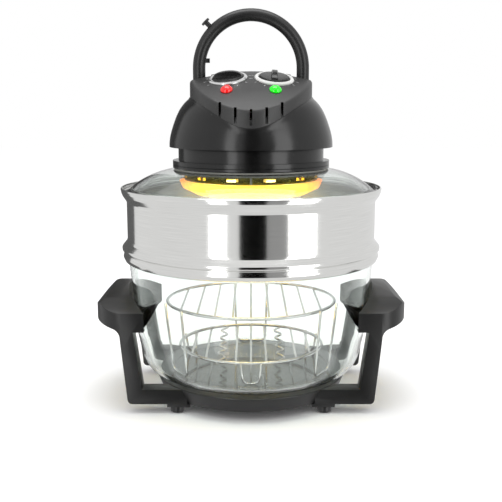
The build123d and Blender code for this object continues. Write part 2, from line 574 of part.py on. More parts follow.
def bail_peg():
    """Peg inside one leg that presses the safety switch when the bail is folded."""
    peg = block((-BAIL_HALF_WIDTH + 4, -BAIL_HALF_WIDTH + PEG_REACH),
                (BAIL_PIVOT_Y - PEG_HALF_WIDTH, BAIL_PIVOT_Y + PEG_HALF_WIDTH), (PEG_LOW_Z, PEG_HIGH_Z))
    return peg - bail_tube()


# ---------------------------------------------------------------- heater, fan and motor
def reflector_drum():
    """Polished drum that hangs from the collar and turns the fan's air outwards."""
    shell = drum(DRUM_RADIUS, DRUM_BOTTOM, DRUM_TOP) - drum(DRUM_RADIUS - SHEET, 0, DRUM_TOP - SHEET)
    shell -= drum(7, 250, 300)
    slot = block((DRUM_RADIUS - 4, DRUM_RADIUS + 4), (-7, 7), (273, 277))
    for cut in around(slot, 12, 15):
        shell -= cut
    return shell


def heat_shield():
    plate = drum(84, DRUM_TOP, DRUM_TOP + 0.5) - drum(7, 280, 300)
    for hole in around(Pos(CLAMP_SCREW_CIRCLE, 0, 0) * drum(3.2, 280, 300), 6, 15):
        plate -= hole
    return plate - sensor_way()


def heater_guard():
    """Slotted pan below the lamp, clipped to the drum's lower edge."""
    rim, low = GUARD_RIM_Z, GUARD_BOTTOM_Z
    outer = [(0, low), (70, low), (84.5, low + 8), (GUARD_RADIUS, rim - 1), (GUARD_RADIUS, rim)]
    inner = [(DRUM_RADIUS - 3, rim), (DRUM_RADIUS - 3, rim - SHEET), (86.6, rim - SHEET - 0.3),
             (83.6, low + 8.6), (69.5, low + SHEET), (0, low + SHEET)]
    pan = turned(outer + inner)
    slot = block((30, 66), (-2.2, 2.2), (240, 256))
    for cut in around(slot, 24):
        pan -= cut
    return pan - drum(16, 240, 256)


def ring_lamp():
    """Halogen tube bent almost to a full circle, with two pinched ends."""
    sweep_angle = 320.0
    start = radians(90 + (360 - sweep_angle) / 2)
    steps = [start, start + radians(sweep_angle / 2), start + radians(sweep_angle)]
    points = [(LAMP_RING_RADIUS * cos(a), LAMP_RING_RADIUS * sin(a), LAMP_RING_Z) for a in steps]
    return wire_along(ThreePointArc(*points), LAMP_TUBE_RADIUS)


def lamp_ends():
    """Ceramic blocks over the lamp's ends, reaching up to the drum's top plate."""
    half_gap = 20.0
    solids = []
    for side in (-1, 1):
        angle = 90 + side * half_gap
        end = block((LAMP_RING_RADIUS - 7, LAMP_RING_RADIUS + 7), (-6, 6), (LAMP_RING_Z - 6.5, DRUM_BOTTOM - 1))
        end += block((LAMP_RING_RADIUS + 4.4, LAMP_RING_RADIUS + 10), (-6, 6), (LAMP_RING_Z, DRUM_TOP - SHEET))
        solids.append(Rot(0, 0, angle) * Pos(0, -side * 5.5, 0) * end - ring_lamp())
    return solids


def lamp_clips():
    """Wire posts that hold the lamp away from the drum."""
    post = block((LAMP_RING_RADIUS + 5.05, LAMP_RING_RADIUS + 6.2), (-3, 3), (LAMP_RING_Z - 3, DRUM_TOP - SHEET))
    foot = block((LAMP_RING_RADIUS - 4, LAMP_RING_RADIUS + 6.2), (-3, 3), (LAMP_RING_Z - 6.4, LAMP_RING_Z - 5.05))
    side = block((LAMP_RING_RADIUS + 5.05, LAMP_RING_RADIUS + 6.2), (-3, 3), (LAMP_RING_Z - 6.4, LAMP_RING_Z))
    clip = (post + foot + side) - ring_lamp()
    return around(clip, 3, 210)


def fan_wheel(radius, hub, low, high, count, pitch):
    """Flat-bladed axial fan on the motor shaft."""
    middle = (low + high) / 2
    wheel = tube_ring(hub, SHAFT_RADIUS, low, high)
    wheel += tube_ring(radius * 0.5, SHAFT_RADIUS, middle - 0.6, middle + 0.6)
    blade = Pos(radius * 0.69, 0, middle) * Rot(pitch, 0, 0) * Box(radius * 0.62, high - low + 3, 1.2)
    for copy in around(blade, count):
        wheel += copy
    return wheel & tube_ring(radius, SHAFT_RADIUS, low, high)


def fan_shaft():
    shaft = drum(SHAFT_RADIUS, SHAFT_BOTTOM, SHAFT_TOP)
    return chamfer(shaft.edges().filter_by(GeomType.CIRCLE), 0.5)


def motor_rotor():
    return tube_ring(14, SHAFT_RADIUS, 318, 338)


def motor_core():
    """Laminated stator of a shaded-pole motor, with a window for the coil."""
    core = block((-32, 32), (-22, 42), (320, 336)) - drum(14.6, 310, 340)
    core -= block((-20, 20), (20, 30), (310, 340))
    for x in (-27, 27):
        core -= Pos(x, -17, 0) * drum(1.7, 310, 340)
        core -= Pos(x, 25, 0) * drum(1.7, 310, 340)
    return core


def motor_coil():
    """Winding on its bobbin round the stator's back bar."""
    coil = block((-18, 18), (20.3, 52), (311, 345))
    coil = fillet(coil.edges().filter_by(Axis.X), 3)
    return coil - block((-32, 32), (29.95, 42.05), (319.95, 336.05)) - block((-32, 32), (30, 42), (320, 336))


def motor_bracket():
    """Two straps with bearing seats, pillars and a base plate across the neck."""
    plate = drum(84, COLLAR_TOP_Z, COLLAR_TOP_Z + 1.5) - drum(9, 290, 300)
    plate -= plate_holes()
    plate -= sensor_way()
    low = block((-40, 40), (-9, 9), (309, 311)) - drum(7, 300, 350)
    high = block((-40, 40), (-9, 9), (343, 345)) - drum(7, 300, 350)
    bracket = plate + low + high
    for side in (-1, 1):
        bracket += block((side * 38 - 2, side * 38 + 2), (-9, 9), (COLLAR_TOP_Z, 345))
        bracket += block((side * 34.5 - 2.4, side * 34.5 + 2.4), (-9, 9), (319, 337)) - motor_core()
    return bracket


def plate_holes():
    """Cooling air holes and boss clearances in the motor plate."""
    holes = around(Pos(BOSS_CIRCLE, 0, 280) * Cylinder(5.6, 60), 4, 45)
    holes += around(Pos(58, 0, 280) * Cylinder(7, 60), 8, 22.5)
    cut = holes[0]
    for hole in holes[1:]:
        cut += hole
    return cut


def motor_bearings():
    bore = SHAFT_RADIUS + BEARING_CLEARANCE
    return [tube_ring(7, bore, 307, 313), tube_ring(7, bore, 341, 347)]


def thermostat_bulb():
    """Sensing bulb beside the drum, with the capillary up to the thermostat."""
    points = [(0, SENSOR_Y, 298), (0, SENSOR_Y, 304), (0, -71, 313), (0, -71, 330), (26, -62, 352), (27, -40, 380)]
    capillary = wire_along(FilletPolyline(*points, radius=4), 0.8)
    bulb = Pos(0, SENSOR_Y, 0) * drum(1.6, 270, 301)
    return bulb + (capillary - control_unit(1, *THERMOSTAT_SIZE))


def thermal_cutout():
    """Over-temperature cut-out on the motor plate."""
    base = COLLAR_TOP_Z + 1.5
    body = Pos(-40, 40, 0) * drum(8, base, base + 7)
    return body + block((-52, -28), (36, 44), (base, base + 1))


def terminal_block():
    body = block((26, 50), (52, 66), (COLLAR_TOP_Z + 1.5, COLLAR_TOP_Z + 16))
    for x in (31, 38, 45):
        body -= Pos(x, 59, 0) * drum(2, COLLAR_TOP_Z + 8, COLLAR_TOP_Z + 20)
    return body


def cord_gland():
    """Flanged bushing in the back of the neck, where the supply cord enters."""
    place = Pos(0, NECK_RADIUS - WALL - 2, GLAND_Z) * Rot(-90, 0, 0)
    bushing = Cylinder(GLAND_RADIUS, WALL + 7, align=(Align.CENTER, Align.CENTER, Align.MIN))
    flange = Pos(0, 0, WALL + 2.3) * Cylinder(GLAND_RADIUS + 1.8, 3, align=(Align.CENTER, Align.CENTER, Align.MIN))
    bore = Cylinder(GLAND_RADIUS - 2.2, 60)
    wall = tube_ring(NECK_RADIUS, NECK_RADIUS - WALL, 290, 320)
    return place * (bushing + flange - bore) - (wall - place * Cylinder(GLAND_RADIUS, 60))


def safety_switch():
    """Snap switch under the cover's slot, opened when the bail stands up."""
    body = block((SWITCH_X - 4, SWITCH_X + 4), (SWITCH_Y - 9, SWITCH_Y + 9), (350, 361))
    return body - Pos(SWITCH_X, SWITCH_Y, 0) * drum(1.56, 352, 380)


def switch_plunger():
    """Sprung pin that the folded bail pushes down."""
    return Pos(SWITCH_X, SWITCH_Y, 0) * drum(1.5, 357, PEG_FOLDED_Z - 0.4)


# ---------------------------------------------------------------- racks
def rack_bars(radius, height, count):
    """Straight bars under the ring, each as long as its chord."""
    pitch = 2 * radius / (count + 1)
    bars = []
    for i in range(count):
        x = (i - (count - 1) / 2) * pitch
        half = sqrt(radius ** 2 - x ** 2)
        bars.append(Pos(x, 0, height) * Rot(90, 0, 0) * Cylinder(RACK_BAR_WIRE, 2 * half))
    return bars


def wavy_bar(radius, height, x):
    """Zigzag bar across the low rack that steadies food."""
    waves, swing = 9, 4.5
    half = sqrt(radius ** 2 - x ** 2) - 1
    points = []
    for i in range(waves + 1):
        y = -half + 2 * half * i / waves
        points.append((x + (swing if i % 2 else -swing), y, height))
    return wire_along(FilletPolyline(*points, radius=4), RACK_BAR_WIRE)


def rack_ring(radius, height):
    return Pos(0, 0, height) * Torus(radius, RACK_RING_WIRE)


def low_rack_grid():
    """Ring, straight bars and two wavy bars, welded."""
    grid = rack_ring(LOW_RACK_RADIUS, LOW_RACK_Z)
    below = LOW_RACK_Z - RACK_BAR_WIRE
    pitch = 2 * LOW_RACK_RADIUS / (RACK_BARS + 1)
    for i, bar in enumerate(rack_bars(LOW_RACK_RADIUS, below, RACK_BARS)):
        x = (i - (RACK_BARS - 1) / 2) * pitch
        if i in (2, RACK_BARS - 3):
            bar = wavy_bar(LOW_RACK_RADIUS, below, x)
        grid += bar
    return grid


def high_rack_grid():
    grid = rack_ring(HIGH_RACK_RADIUS, HIGH_RACK_Z)
    for bar in rack_bars(HIGH_RACK_RADIUS, HIGH_RACK_Z - RACK_BAR_WIRE, RACK_BARS):
        grid += bar
    return grid


def rack_leg(radius, height, span, angle):
    """U-shaped wire leg welded outside the ring and leaning in towards its foot."""
    floor = BOWL_FLOOR_Z + RACK_BAR_WIRE
    top = radius + RACK_RING_WIRE + RACK_BAR_WIRE - 0.4
    foot = top - LEG_LEAN * (height - floor)
    points = [(top, -span / 2, height + 1.5), (foot, -span / 2 + 3, floor), (foot, span / 2 - 3, floor),
              (top, span / 2, height + 1.5)]
    return Rot(0, 0, angle) * wire_along(FilletPolyline(*points, radius=7), RACK_BAR_WIRE)


def rack_legs(name, radius, height, span, start, grid):
    for i in range(RACK_LEGS):
        save(name + "_leg_" + str(i + 1), rack_leg(radius, height, span, start + 360 * i / RACK_LEGS) - grid)


# ---------------------------------------------------------------- build
def save_stand():
    save("base_tray", base_tray())
    save("bowl_rest_pads", *rest_pads())
    save("feet", *feet())
    save("foot_pads", *foot_pads())
    save("stand_screws", *stand_screws())
    right, liner, screws = side_handle(), handle_liner(), liner_screws()
    save("right_handle", right)
    save("left_handle", mirrored(right))
    save("right_handle_liner", liner)
    save("left_handle_liner", mirrored(liner))
    save("handle_liner_screws", *screws, *[mirrored(screw) for screw in screws])


def save_head_shells():
    save("lid_glass", lid_glass())
    save("lid_gasket", lid_gasket())
    save("collar_ring", collar_ring())
    save("clamp_ring", clamp_ring())
    save("clamp_screws", *clamp_screws())
    save("neck_ring", neck_ring())
    save("lower_housing", lower_housing())
    save("top_cover", top_cover())
    save("housing_screws", *housing_screws())


def save_controls():
    save("timer_dial_ring", dial_ring(-1))
    save("temperature_dial_ring", dial_ring(1))
    save("timer_knob", knob(-1, 0))
    save("temperature_knob", knob(1, 90))
    save("timer_unit", control_unit(-1, *TIMER_SIZE))
    save("thermostat_unit", control_unit(1, *THERMOSTAT_SIZE))
    save("power_lamp", indicator_lamp(-1))
    save("heat_lamp", indicator_lamp(1))


def save_bail():
    save("bail_tube", bail_tube())
    save("bail_pins", *bail_pins())
    save("bail_studs", bail_stud(), bail_peg())


def save_heater_and_motor():
    save("reflector_drum", reflector_drum())
    save("heat_shield", heat_shield())
    save("heater_guard", heater_guard())
    save("ring_lamp", ring_lamp())
    save("lamp_end_blocks", *lamp_ends())
    save("lamp_clips", *lamp_clips())
    save("hot_air_fan", fan_wheel(60, 9, 272, 284, 8, 35))
    save("cooling_fan", fan_wheel(44, 9, 350, 360, 8, 35))
    save("fan_shaft", fan_shaft())
    save("motor_rotor", motor_rotor())
    save("motor_core", motor_core())
    save("motor_coil", motor_coil())
    save("motor_bracket", motor_bracket())
    save("motor_bearings", *motor_bearings())
    save("thermostat_bulb", thermostat_bulb())
    save("thermal_cutout", thermal_cutout())
    save("terminal_block", terminal_block())
    save("cord_gland", cord_gland())
    save("safety_switch", safety_switch())
    save("switch_plunger", switch_plunger())


def save_racks():
    low_grid, high_grid = low_rack_grid(), high_rack_grid()
    save("low_rack_grid", low_grid)
    rack_legs("low_rack", LOW_RACK_RADIUS, LOW_RACK_Z, 24, 30, low_grid)
    save("high_rack_grid", high_grid)
    rack_legs("high_rack", HIGH_RACK_RADIUS, HIGH_RACK_Z, 46, 90, high_grid)


os.makedirs("parts", exist_ok=True)
save_stand()
save("glass_bowl", glass_bowl())
save("extender_ring", extender_ring())
save_head_shells()
save_controls()
save_bail()
save_heater_and_motor()
save_racks()
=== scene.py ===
"""Looks of a glass-bowl air fryer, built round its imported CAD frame.

Every piece is made by an operator; main() calls them in order.  Lengths are metres.
"""

import json
import math

import bmesh
import bpy
from bpy.props import FloatProperty, FloatVectorProperty, IntProperty, PointerProperty
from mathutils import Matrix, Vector
from mathutils.bvhtree import BVHTree


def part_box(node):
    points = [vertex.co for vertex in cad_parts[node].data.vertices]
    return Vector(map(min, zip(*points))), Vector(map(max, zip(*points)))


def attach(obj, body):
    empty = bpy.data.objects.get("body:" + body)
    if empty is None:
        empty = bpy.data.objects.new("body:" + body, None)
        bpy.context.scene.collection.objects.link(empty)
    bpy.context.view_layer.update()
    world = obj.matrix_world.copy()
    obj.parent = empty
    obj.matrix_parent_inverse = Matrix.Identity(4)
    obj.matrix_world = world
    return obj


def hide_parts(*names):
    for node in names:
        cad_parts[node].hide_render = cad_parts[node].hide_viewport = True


bl_info = {
    "name": "Glass Bowl Air Fryer",
    "version": (1, 0, 0),
    "blender": (4, 5, 0),
    "location": "3D View > Sidebar > Air Fryer",
    "description": "Detailed pieces and finishes for a halogen air fryer",
    "category": "Object",
}

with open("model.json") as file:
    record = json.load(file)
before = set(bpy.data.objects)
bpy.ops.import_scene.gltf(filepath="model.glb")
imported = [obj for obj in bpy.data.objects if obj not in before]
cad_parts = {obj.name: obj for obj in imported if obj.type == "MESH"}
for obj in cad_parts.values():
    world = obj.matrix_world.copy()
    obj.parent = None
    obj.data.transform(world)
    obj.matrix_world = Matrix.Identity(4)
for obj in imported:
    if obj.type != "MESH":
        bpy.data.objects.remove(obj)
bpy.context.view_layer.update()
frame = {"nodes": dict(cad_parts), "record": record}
MM = 0.001
SMOOTH_ANGLE = math.radians(32)
WIRE_SMOOTH_ANGLE = math.radians(50)
EASED_SMOOTH_ANGLE = math.radians(40)
BEVEL_FROM_ANGLE = math.radians(34)
BEVEL_SEGMENTS = 3

# Radii and heights, in millimetres, that the CAD boxes don't give.
BOWL_FOOT = 132
BOWL_BELLY = 144.5
BOWL_BELLY_HEIGHT = 90
BOWL_NECK = 151.5
EXTENDER_STEP = 7
EXTENDER_SKIRT = 155.3
EXTENDER_SEAT = 150.5
LID_HOLE = 90
COLLAR_HOLE = 76

# Dial marks, and the wires of the racks.
MARK_RADIUS = 0.0272
MARK_START = math.radians(-50)
MARK_SWEEP = math.radians(280)
MARK_FILM = 0.00012
MARK_RISE = 0.012
RING_WIRE = 1.9 * MM
BAR_WIRE = 1.4 * MM
WAVES = 9
WAVE_SWING = 4.05 * MM
WAVE_STEPS = 8

# The set: what reflections see of the room, the cards' reach, and the camera.
REFLECTED_ROOM = 0.76
CARD_RADIUS, CARD_BOTTOM, CARD_TOP = 1.6, -0.9, 1.5
CARD_STEPS = 12
FLOOR_REACH = 6.0
CAMERA_PLACE = (0, -1.0328, 0.364)
CAMERA_DOWN = 9.98
CAMERA_LENS, CAMERA_SENSOR = 59.8, 36.0


# ---------------------------------------------------------------- small tools
def linear(code):
    """sRGB hex colour as linear RGBA."""
    parts = [int(code[i:i + 2], 16) / 255 for i in (1, 3, 5)]
    return tuple(p / 12.92 if p <= 0.04045 else ((p + 0.055) / 1.055) ** 2.4 for p in parts) + (1.0,)


def add(tree, kind, settings=None, values=None, links=None):
    """One node with its settings, input values and incoming links."""
    node = tree.nodes.new(kind)
    for name, value in (settings or {}).items():
        setattr(node, name, value)
    for name, value in (values or {}).items():
        node.inputs[name].default_value = value
    for name, socket in (links or {}).items():
        tree.links.new(socket, node.inputs[name])
    return node


def low(node):
    return Vector(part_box(node)[0])


def high(node):
    return Vector(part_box(node)[1])


def settings():
    return bpy.context.scene.air_fryer


def finish_mesh(name, mesh, material, body, replaced=()):
    """Gives a mesh its name, finish and body, and hides the CAD nodes that it stands for."""
    mesh.name = name
    mesh.materials.clear()
    mesh.materials.append(material)
    piece = bpy.data.objects.new(name, mesh)
    bpy.context.scene.collection.objects.link(piece)
    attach(piece, body)
    if replaced:
        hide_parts(*replaced)
    return piece


def smooth(mesh, angle=SMOOTH_ANGLE):
    """Smooth shading that stays crisp at sharp edges."""
    mesh.shade_smooth()
    mesh.set_sharp_from_angle(angle=angle)
    return mesh


def baked(piece):
    """Plain mesh of an object with its modifiers applied; the object is removed."""
    graph = bpy.context.evaluated_depsgraph_get()
    mesh = bpy.data.meshes.new_from_object(piece.evaluated_get(graph), depsgraph=graph)
    bpy.data.objects.remove(piece)
    return mesh


def rounded(outline, radius, steps=5):
    """Closed (r, z) outline in millimetres with its corners turned into arcs."""
    count = len(outline)
    result = []
    for i, point in enumerate(outline):
        here = Vector(point[:2])
        size = point[2] if len(point) > 2 else radius
        before = Vector(outline[i - 1][:2]) - here
        after = Vector(outline[(i + 1) % count][:2]) - here
        reach = min(before.length, after.length) * 0.48
        angle = before.angle(after) / 2
        if size <= 0 or here.x < 0.01 or angle > math.radians(89):
            result.append(tuple(here))
            continue
        tangent = min(size / math.tan(angle), reach)
        start = here + before.normalized() * tangent
        end = here + after.normalized() * tangent
        for k in range(steps + 1):
            t = k / steps
            result.append(tuple(start * (1 - t) ** 2 + here * 2 * t * (1 - t) + end * t ** 2))
    return result


def arc_through(a, b, c, steps):
    """Points of the circle arc from a through b to c."""
    (ax, ay), (bx, by), (cx, cy) = a, b, c
    d = 2 * (ax * (by - cy) + bx * (cy - ay) + cx * (ay - by))
    a2, b2, c2 = ax * ax + ay * ay, bx * bx + by * by, cx * cx + cy * cy
    centre = Vector(((a2 * (by - cy) + b2 * (cy - ay) + c2 * (ay - by)) / d,
                     (a2 * (cx - bx) + b2 * (ax - cx) + c2 * (bx - ax)) / d))
    first, last = Vector(a) - centre, Vector(c) - centre
    total = first.angle_signed(last)
    points = []
    for i in range(steps + 1):
        turn = -total * i / steps
        x = first.x * math.cos(turn) - first.y * math.sin(turn)
        y = first.x * math.sin(turn) + first.y * math.cos(turn)
        points.append((centre.x + x, centre.y + y))
    return points


def lathe(outline, segments):
    """Mesh turned about Z from a closed (r, z) outline in millimetres, faces outward."""
    shell = bmesh.new()
    rings = []
    for radius, height in outline:
        if radius < 0.01:
            rings.append([shell.verts.new((0, 0, height * MM))])
            continue
        ring = []
        for k in range(segments):
            angle = 2 * math.pi * k / segments
            place = (radius * MM * math.cos(angle), radius * MM * math.sin(angle), height * MM)
            ring.append(shell.verts.new(place))
        rings.append(ring)
    for i, ring in enumerate(rings):
        other = rings[(i + 1) % len(rings)]
        if len(ring) == 1 and len(other) == 1:
            continue
        for k in range(segments):
            n = (k + 1) % segments
            corners = [ring[k % len(ring)], ring[n % len(ring)],
                       other[n % len(other)], other[k % len(other)]]
            shell.faces.new(list(dict.fromkeys(corners)))
    bmesh.ops.remove_doubles(shell, verts=shell.verts, dist=1e-6)
    bmesh.ops.recalc_face_normals(shell, faces=shell.faces)
    mesh = bpy.data.meshes.new("turned")
    shell.to_mesh(mesh)
    shell.free()
    return smooth(mesh)


def refined(node, bevel=0.0):
    """Merged copy of a CAD node's mesh with its hard edges eased by a small bevel."""
    source = frame["nodes"][node]
    work = bmesh.new()
    work.from_mesh(source.data)
    bmesh.ops.remove_doubles(work, verts=work.verts, dist=2e-6)
    if bevel:
        bmesh.ops.dissolve_limit(work, angle_limit=math.radians(0.6), verts=work.verts, edges=work.edges)
    mesh = bpy.data.meshes.new(node + "_copy")
    work.to_mesh(mesh)
    work.free()
    if not bevel:
        return smooth(mesh)
    holder = bpy.data.objects.new(node + "_work", mesh)
    bpy.context.scene.collection.objects.link(holder)
    ease = holder.modifiers.new("ease", "BEVEL")
    ease.width = bevel * MM
    ease.segments = BEVEL_SEGMENTS
    ease.limit_method = "ANGLE"
    ease.angle_limit = BEVEL_FROM_ANGLE
    ease.use_clamp_overlap = True
    return smooth(baked(holder), EASED_SMOOTH_ANGLE)


def refine_piece(name, node, material, body, bevel=0.0):
    """Eased copy of one CAD node in its real finish."""
    return finish_mesh(name, refined(node, bevel), material, body, (node,))


def repaint(node, material):
    """New finish on a CAD node that keeps its shape."""
    target = frame["nodes"][node]
    for slot in target.material_slots:
        slot.material = material


def tube(points, radius, resolution):
    """Mesh of a round wire along points in metres."""
    line = bpy.data.curves.new("wire", "CURVE")
    line.dimensions = "3D"
    line.bevel_depth = radius
    line.bevel_resolution = resolution
    line.use_fill_caps = True
    spline = line.splines.new("POLY")
    spline.points.add(len(points) - 1)
    for slot, place in zip(spline.points, points):
        slot.co = (*place, 1)
    holder = bpy.data.objects.new("wire", line)
    bpy.context.scene.collection.objects.link(holder)
    return smooth(baked(holder), WIRE_SMOOTH_ANGLE)


def joined(meshes):
    """One mesh from several."""
    whole = bmesh.new()
    for mesh in meshes:
        whole.from_mesh(mesh)
        bpy.data.meshes.remove(mesh)
    mesh = bpy.data.meshes.new("joined")
    whole.to_mesh(mesh)
    whole.free()
    return mesh


# ---------------------------------------------------------------- materials
def new_finish(name, code, metallic=0.0, roughness=0.5, ior=None):
    """Empty Principled material in one base colour."""
    material = bpy.data.materials.new(name)
    material.use_nodes = True
    tree = material.node_tree
    tree.nodes.clear()
    shader = add(tree, "ShaderNodeBsdfPrincipled", values={
        "Base Color": linear(code), "Metallic": metallic, "Roughness": roughness})
    if ior:
        shader.inputs["IOR"].default_value = ior
    add(tree, "ShaderNodeOutputMaterial", links={"Surface": shader.outputs["BSDF"]})
    return material, tree, shader


def object_space(tree):
    return add(tree, "ShaderNodeTexCoord").outputs["Object"]


def noise(tree, space, scale, detail=3.0, rough=0.5):
    return add(tree, "ShaderNodeTexNoise", values={"Scale": scale, "Detail": detail, "Roughness": rough},
               links={"Vector": space}).outputs["Fac"]


def spread(tree, value, least, most):
    """A 0 to 1 pattern mapped to a range."""
    values = {"From Min": 0.3, "From Max": 0.7, "To Min": least, "To Max": most}
    return add(tree, "ShaderNodeMapRange", values=values, links={"Value": value}).outputs["Result"]


def two_tones(tree, fac, first, last, start=0.0, end=1.0):
    """Colour that runs from one hex tone to another as a pattern rises."""
    ramp = add(tree, "ShaderNodeValToRGB", links={"Fac": fac})
    low_end, high_end = ramp.color_ramp.elements
    low_end.color = linear(first)
    high_end.color = linear(last)
    low_end.position = start
    high_end.position = end
    return ramp.outputs["Color"]


def tint(tree, shader, fac, dark, light):
    """Base colour that drifts between two tones."""
    tree.links.new(two_tones(tree, fac, dark, light, 0.3, 0.7), shader.inputs["Base Color"])


def bump(tree, shader, height, strength, distance_mm):
    """Relief from a pattern."""
    node = add(tree, "ShaderNodeBump", values={"Strength": strength, "Distance": distance_mm * MM},
               links={"Height": height})
    tree.links.new(node.outputs["Normal"], shader.inputs["Normal"])


def moulded_nylon(name, dark, light, roughness):
    """Glass-filled nylon, injection moulded in a fine spark-eroded tool: a satin skin with a
    fine grain (drawn at 0.9 mm, coarser than the real 0.2 mm, so that it shows) and soft
    handling marks that vary the gloss."""
    material, tree, shader = new_finish(name, dark, roughness=roughness, ior=1.5)
    space = object_space(tree)
    grain = noise(tree, space, 1 / (0.9 * MM), 2.0)
    marks = noise(tree, space, 1 / (38 * MM), 4.0)
    tint(tree, shader, marks, dark, light)
    tree.links.new(spread(tree, marks, roughness - 0.05, roughness + 0.06), shader.inputs["Roughness"])
    bump(tree, shader, grain, 0.12, 0.06)
    return material


def pressed_glass(name, tone):
    """Borosilicate glass, pressed and fire polished: clear, faintly green through a long path,
    with slow waves in the surface from the mould."""
    material, tree, shader = new_finish(name, tone, roughness=0.0, ior=1.47)
    shader.inputs["Transmission Weight"].default_value = 1.0
    waves = noise(tree, object_space(tree), 1 / (45 * MM), 1.0)
    bump(tree, shader, waves, 0.05, 0.5)
    surface = tree.nodes["Material Output"].inputs["Surface"]
    path = add(tree, "ShaderNodeLightPath")
    clear = add(tree, "ShaderNodeBsdfTransparent", values={"Color": (0.93, 0.96, 0.945, 1.0)})
    mix = add(tree, "ShaderNodeMixShader", links={0: path.outputs["Is Shadow Ray"]})
    tree.links.new(shader.outputs["BSDF"], mix.inputs[1])
    tree.links.new(clear.outputs["BSDF"], mix.inputs[2])
    tree.links.new(mix.outputs["Shader"], surface)
    return material


def around_axis(tree, along, across):
    """Coordinates that run round the Z axis: long along the turn, fine across it."""
    split = add(tree, "ShaderNodeSeparateXYZ", links={"Vector": object_space(tree)})
    angle = add(tree, "ShaderNodeMath", {"operation": "ARCTAN2"},
                links={0: split.outputs["Y"], 1: split.outputs["X"]})
    turn = add(tree, "ShaderNodeMath", {"operation": "MULTIPLY"}, {1: along}, {0: angle.outputs[0]})
    rise = add(tree, "ShaderNodeMath", {"operation": "MULTIPLY"}, {1: across}, {0: split.outputs["Z"]})
    return add(tree, "ShaderNodeCombineXYZ", links={"X": turn.outputs[0], "Z": rise.outputs[0]}).outputs[0]


def brushed_stainless(name, code, light, roughness):
    """Grade 304 stainless sheet, spun and belt brushed round the turn: hair lines (drawn 0.5 mm
    apart so that they show) smear each reflection up and down the wall."""
    material, tree, shader = new_finish(name, code, metallic=1.0, roughness=roughness)
    lines = noise(tree, around_axis(tree, 3.0, 1 / (0.5 * MM)), 1.0, 2.0, 0.6)
    tint(tree, shader, lines, code, light)
    tree.links.new(spread(tree, lines, roughness - 0.02, roughness + 0.04), shader.inputs["Roughness"])
    bump(tree, shader, lines, 0.015, 0.02)
    shader.inputs["Anisotropic"].default_value = 0.6
    shader.inputs["Anisotropic Rotation"].default_value = 0.25
    tangent = add(tree, "ShaderNodeTangent", {"direction_type": "RADIAL", "axis": "Z"})
    tree.links.new(tangent.outputs["Tangent"], shader.inputs["Tangent"])
    return material


def bright_metal(name, code, roughness, pit_mm=0.6):
    """Plated or rolled steel: mirror-like with faint pits and rubbed patches."""
    material, tree, shader = new_finish(name, code, metallic=1.0, roughness=roughness)
    space = object_space(tree)
    rub = noise(tree, space, 1 / (14 * MM), 4.0)
    tree.links.new(spread(tree, rub, roughness * 0.7, roughness * 1.6 + 0.02), shader.inputs["Roughness"])
    bump(tree, shader, noise(tree, space, 1 / (pit_mm * MM), 2.0), 0.05, 0.02)
    return material


def glowing(name, code, hot, warm, strength, patch_mm):
    """Quartz tube with its filament lit: its glow drifts from yellow-white to orange."""
    material, tree, shader = new_finish(name, code, roughness=0.35)
    patches = noise(tree, object_space(tree), 1 / (patch_mm * MM), 3.0)
    tree.links.new(two_tones(tree, patches, warm, hot, 0.32, 0.6), shader.inputs["Emission Color"])
    shader.inputs["Emission Strength"].default_value = strength
    return material


def guard_with_painted_lamplight(name):
    """Pierced stainless pan over the lamp, heat tinted straw to bronze, with the lamp's light on it painted
    as emission:
    yellow-white where it faces the lamp, orange where its rim turns away."""
    material, tree, shader = new_finish(name, "#c89a3c", metallic=0.6, roughness=0.35)
    # painted lamplight: an emission stands in for the lamp's light falling on the guard, yellow-white in the
    # middle and orange out to the left and right
    split = add(tree, "ShaderNodeSeparateXYZ", links={"Vector": object_space(tree)})
    side = add(tree, "ShaderNodeMath", {"operation": "ABSOLUTE"}, links={0: split.outputs["X"]})
    patches = noise(tree, object_space(tree), 1 / (26 * MM), 3.0)
    drift = add(tree, "ShaderNodeMath", {"operation": "MULTIPLY_ADD"}, {1: 0.05, 2: -0.025}, {0: patches})
    reach = add(tree, "ShaderNodeMath", {"operation": "ADD"},
                links={0: side.outputs[0], 1: drift.outputs[0]})
    fade = add(tree, "ShaderNodeMapRange", values={"From Min": 0.05, "From Max": 0.088},
               links={"Value": reach.outputs[0]})
    glow = two_tones(tree, fade.outputs["Result"], "#ffe23c", "#d86a00")
    tree.links.new(glow, shader.inputs["Emission Color"])
    shader.inputs["Emission Strength"].default_value = 1.8
    return material


def lit_lens(name, code, deep):
    """Ribbed acrylic lens over a neon: saturated, glossy, lit from behind."""
    material, tree, shader = new_finish(name, code, roughness=0.12, ior=1.49)
    patches = noise(tree, object_space(tree), 1 / (5 * MM), 1.0)
    tree.links.new(two_tones(tree, patches, deep, code), shader.inputs["Emission Color"])
    shader.inputs["Emission Strength"].default_value = 0.75
    shader.inputs["Coat Weight"].default_value = 0.6
    return material


def powdery(name, dark, light, roughness, grain_mm):
    """Fired steatite, silicone or rubber: matt, with a fine grain and a faint drift of tone."""
    material, tree, shader = new_finish(name, dark, roughness=roughness, ior=1.45)
    space = object_space(tree)
    tint(tree, shader, noise(tree, space, 1 / (12 * MM), 3.0), dark, light)
    bump(tree, shader, noise(tree, space, 1 / (grain_mm * MM), 2.0), 0.2, 0.05)
    return material


def copper_winding(name):
    """Enamelled copper wire wound on a bobbin: fine turns, warm and glossy."""
    material, tree, shader = new_finish(name, "#8a3d14", metallic=0.85, roughness=0.3)
    turns = add(tree, "ShaderNodeTexWave", {"bands_direction": "X"}, {"Scale": 160.0, "Distortion": 0.2},
                {"Vector": object_space(tree)})
    tint(tree, shader, turns.outputs["Fac"], "#5c250c", "#b5602c")
    bump(tree, shader, turns.outputs["Fac"], 0.5, 0.25)
    return material


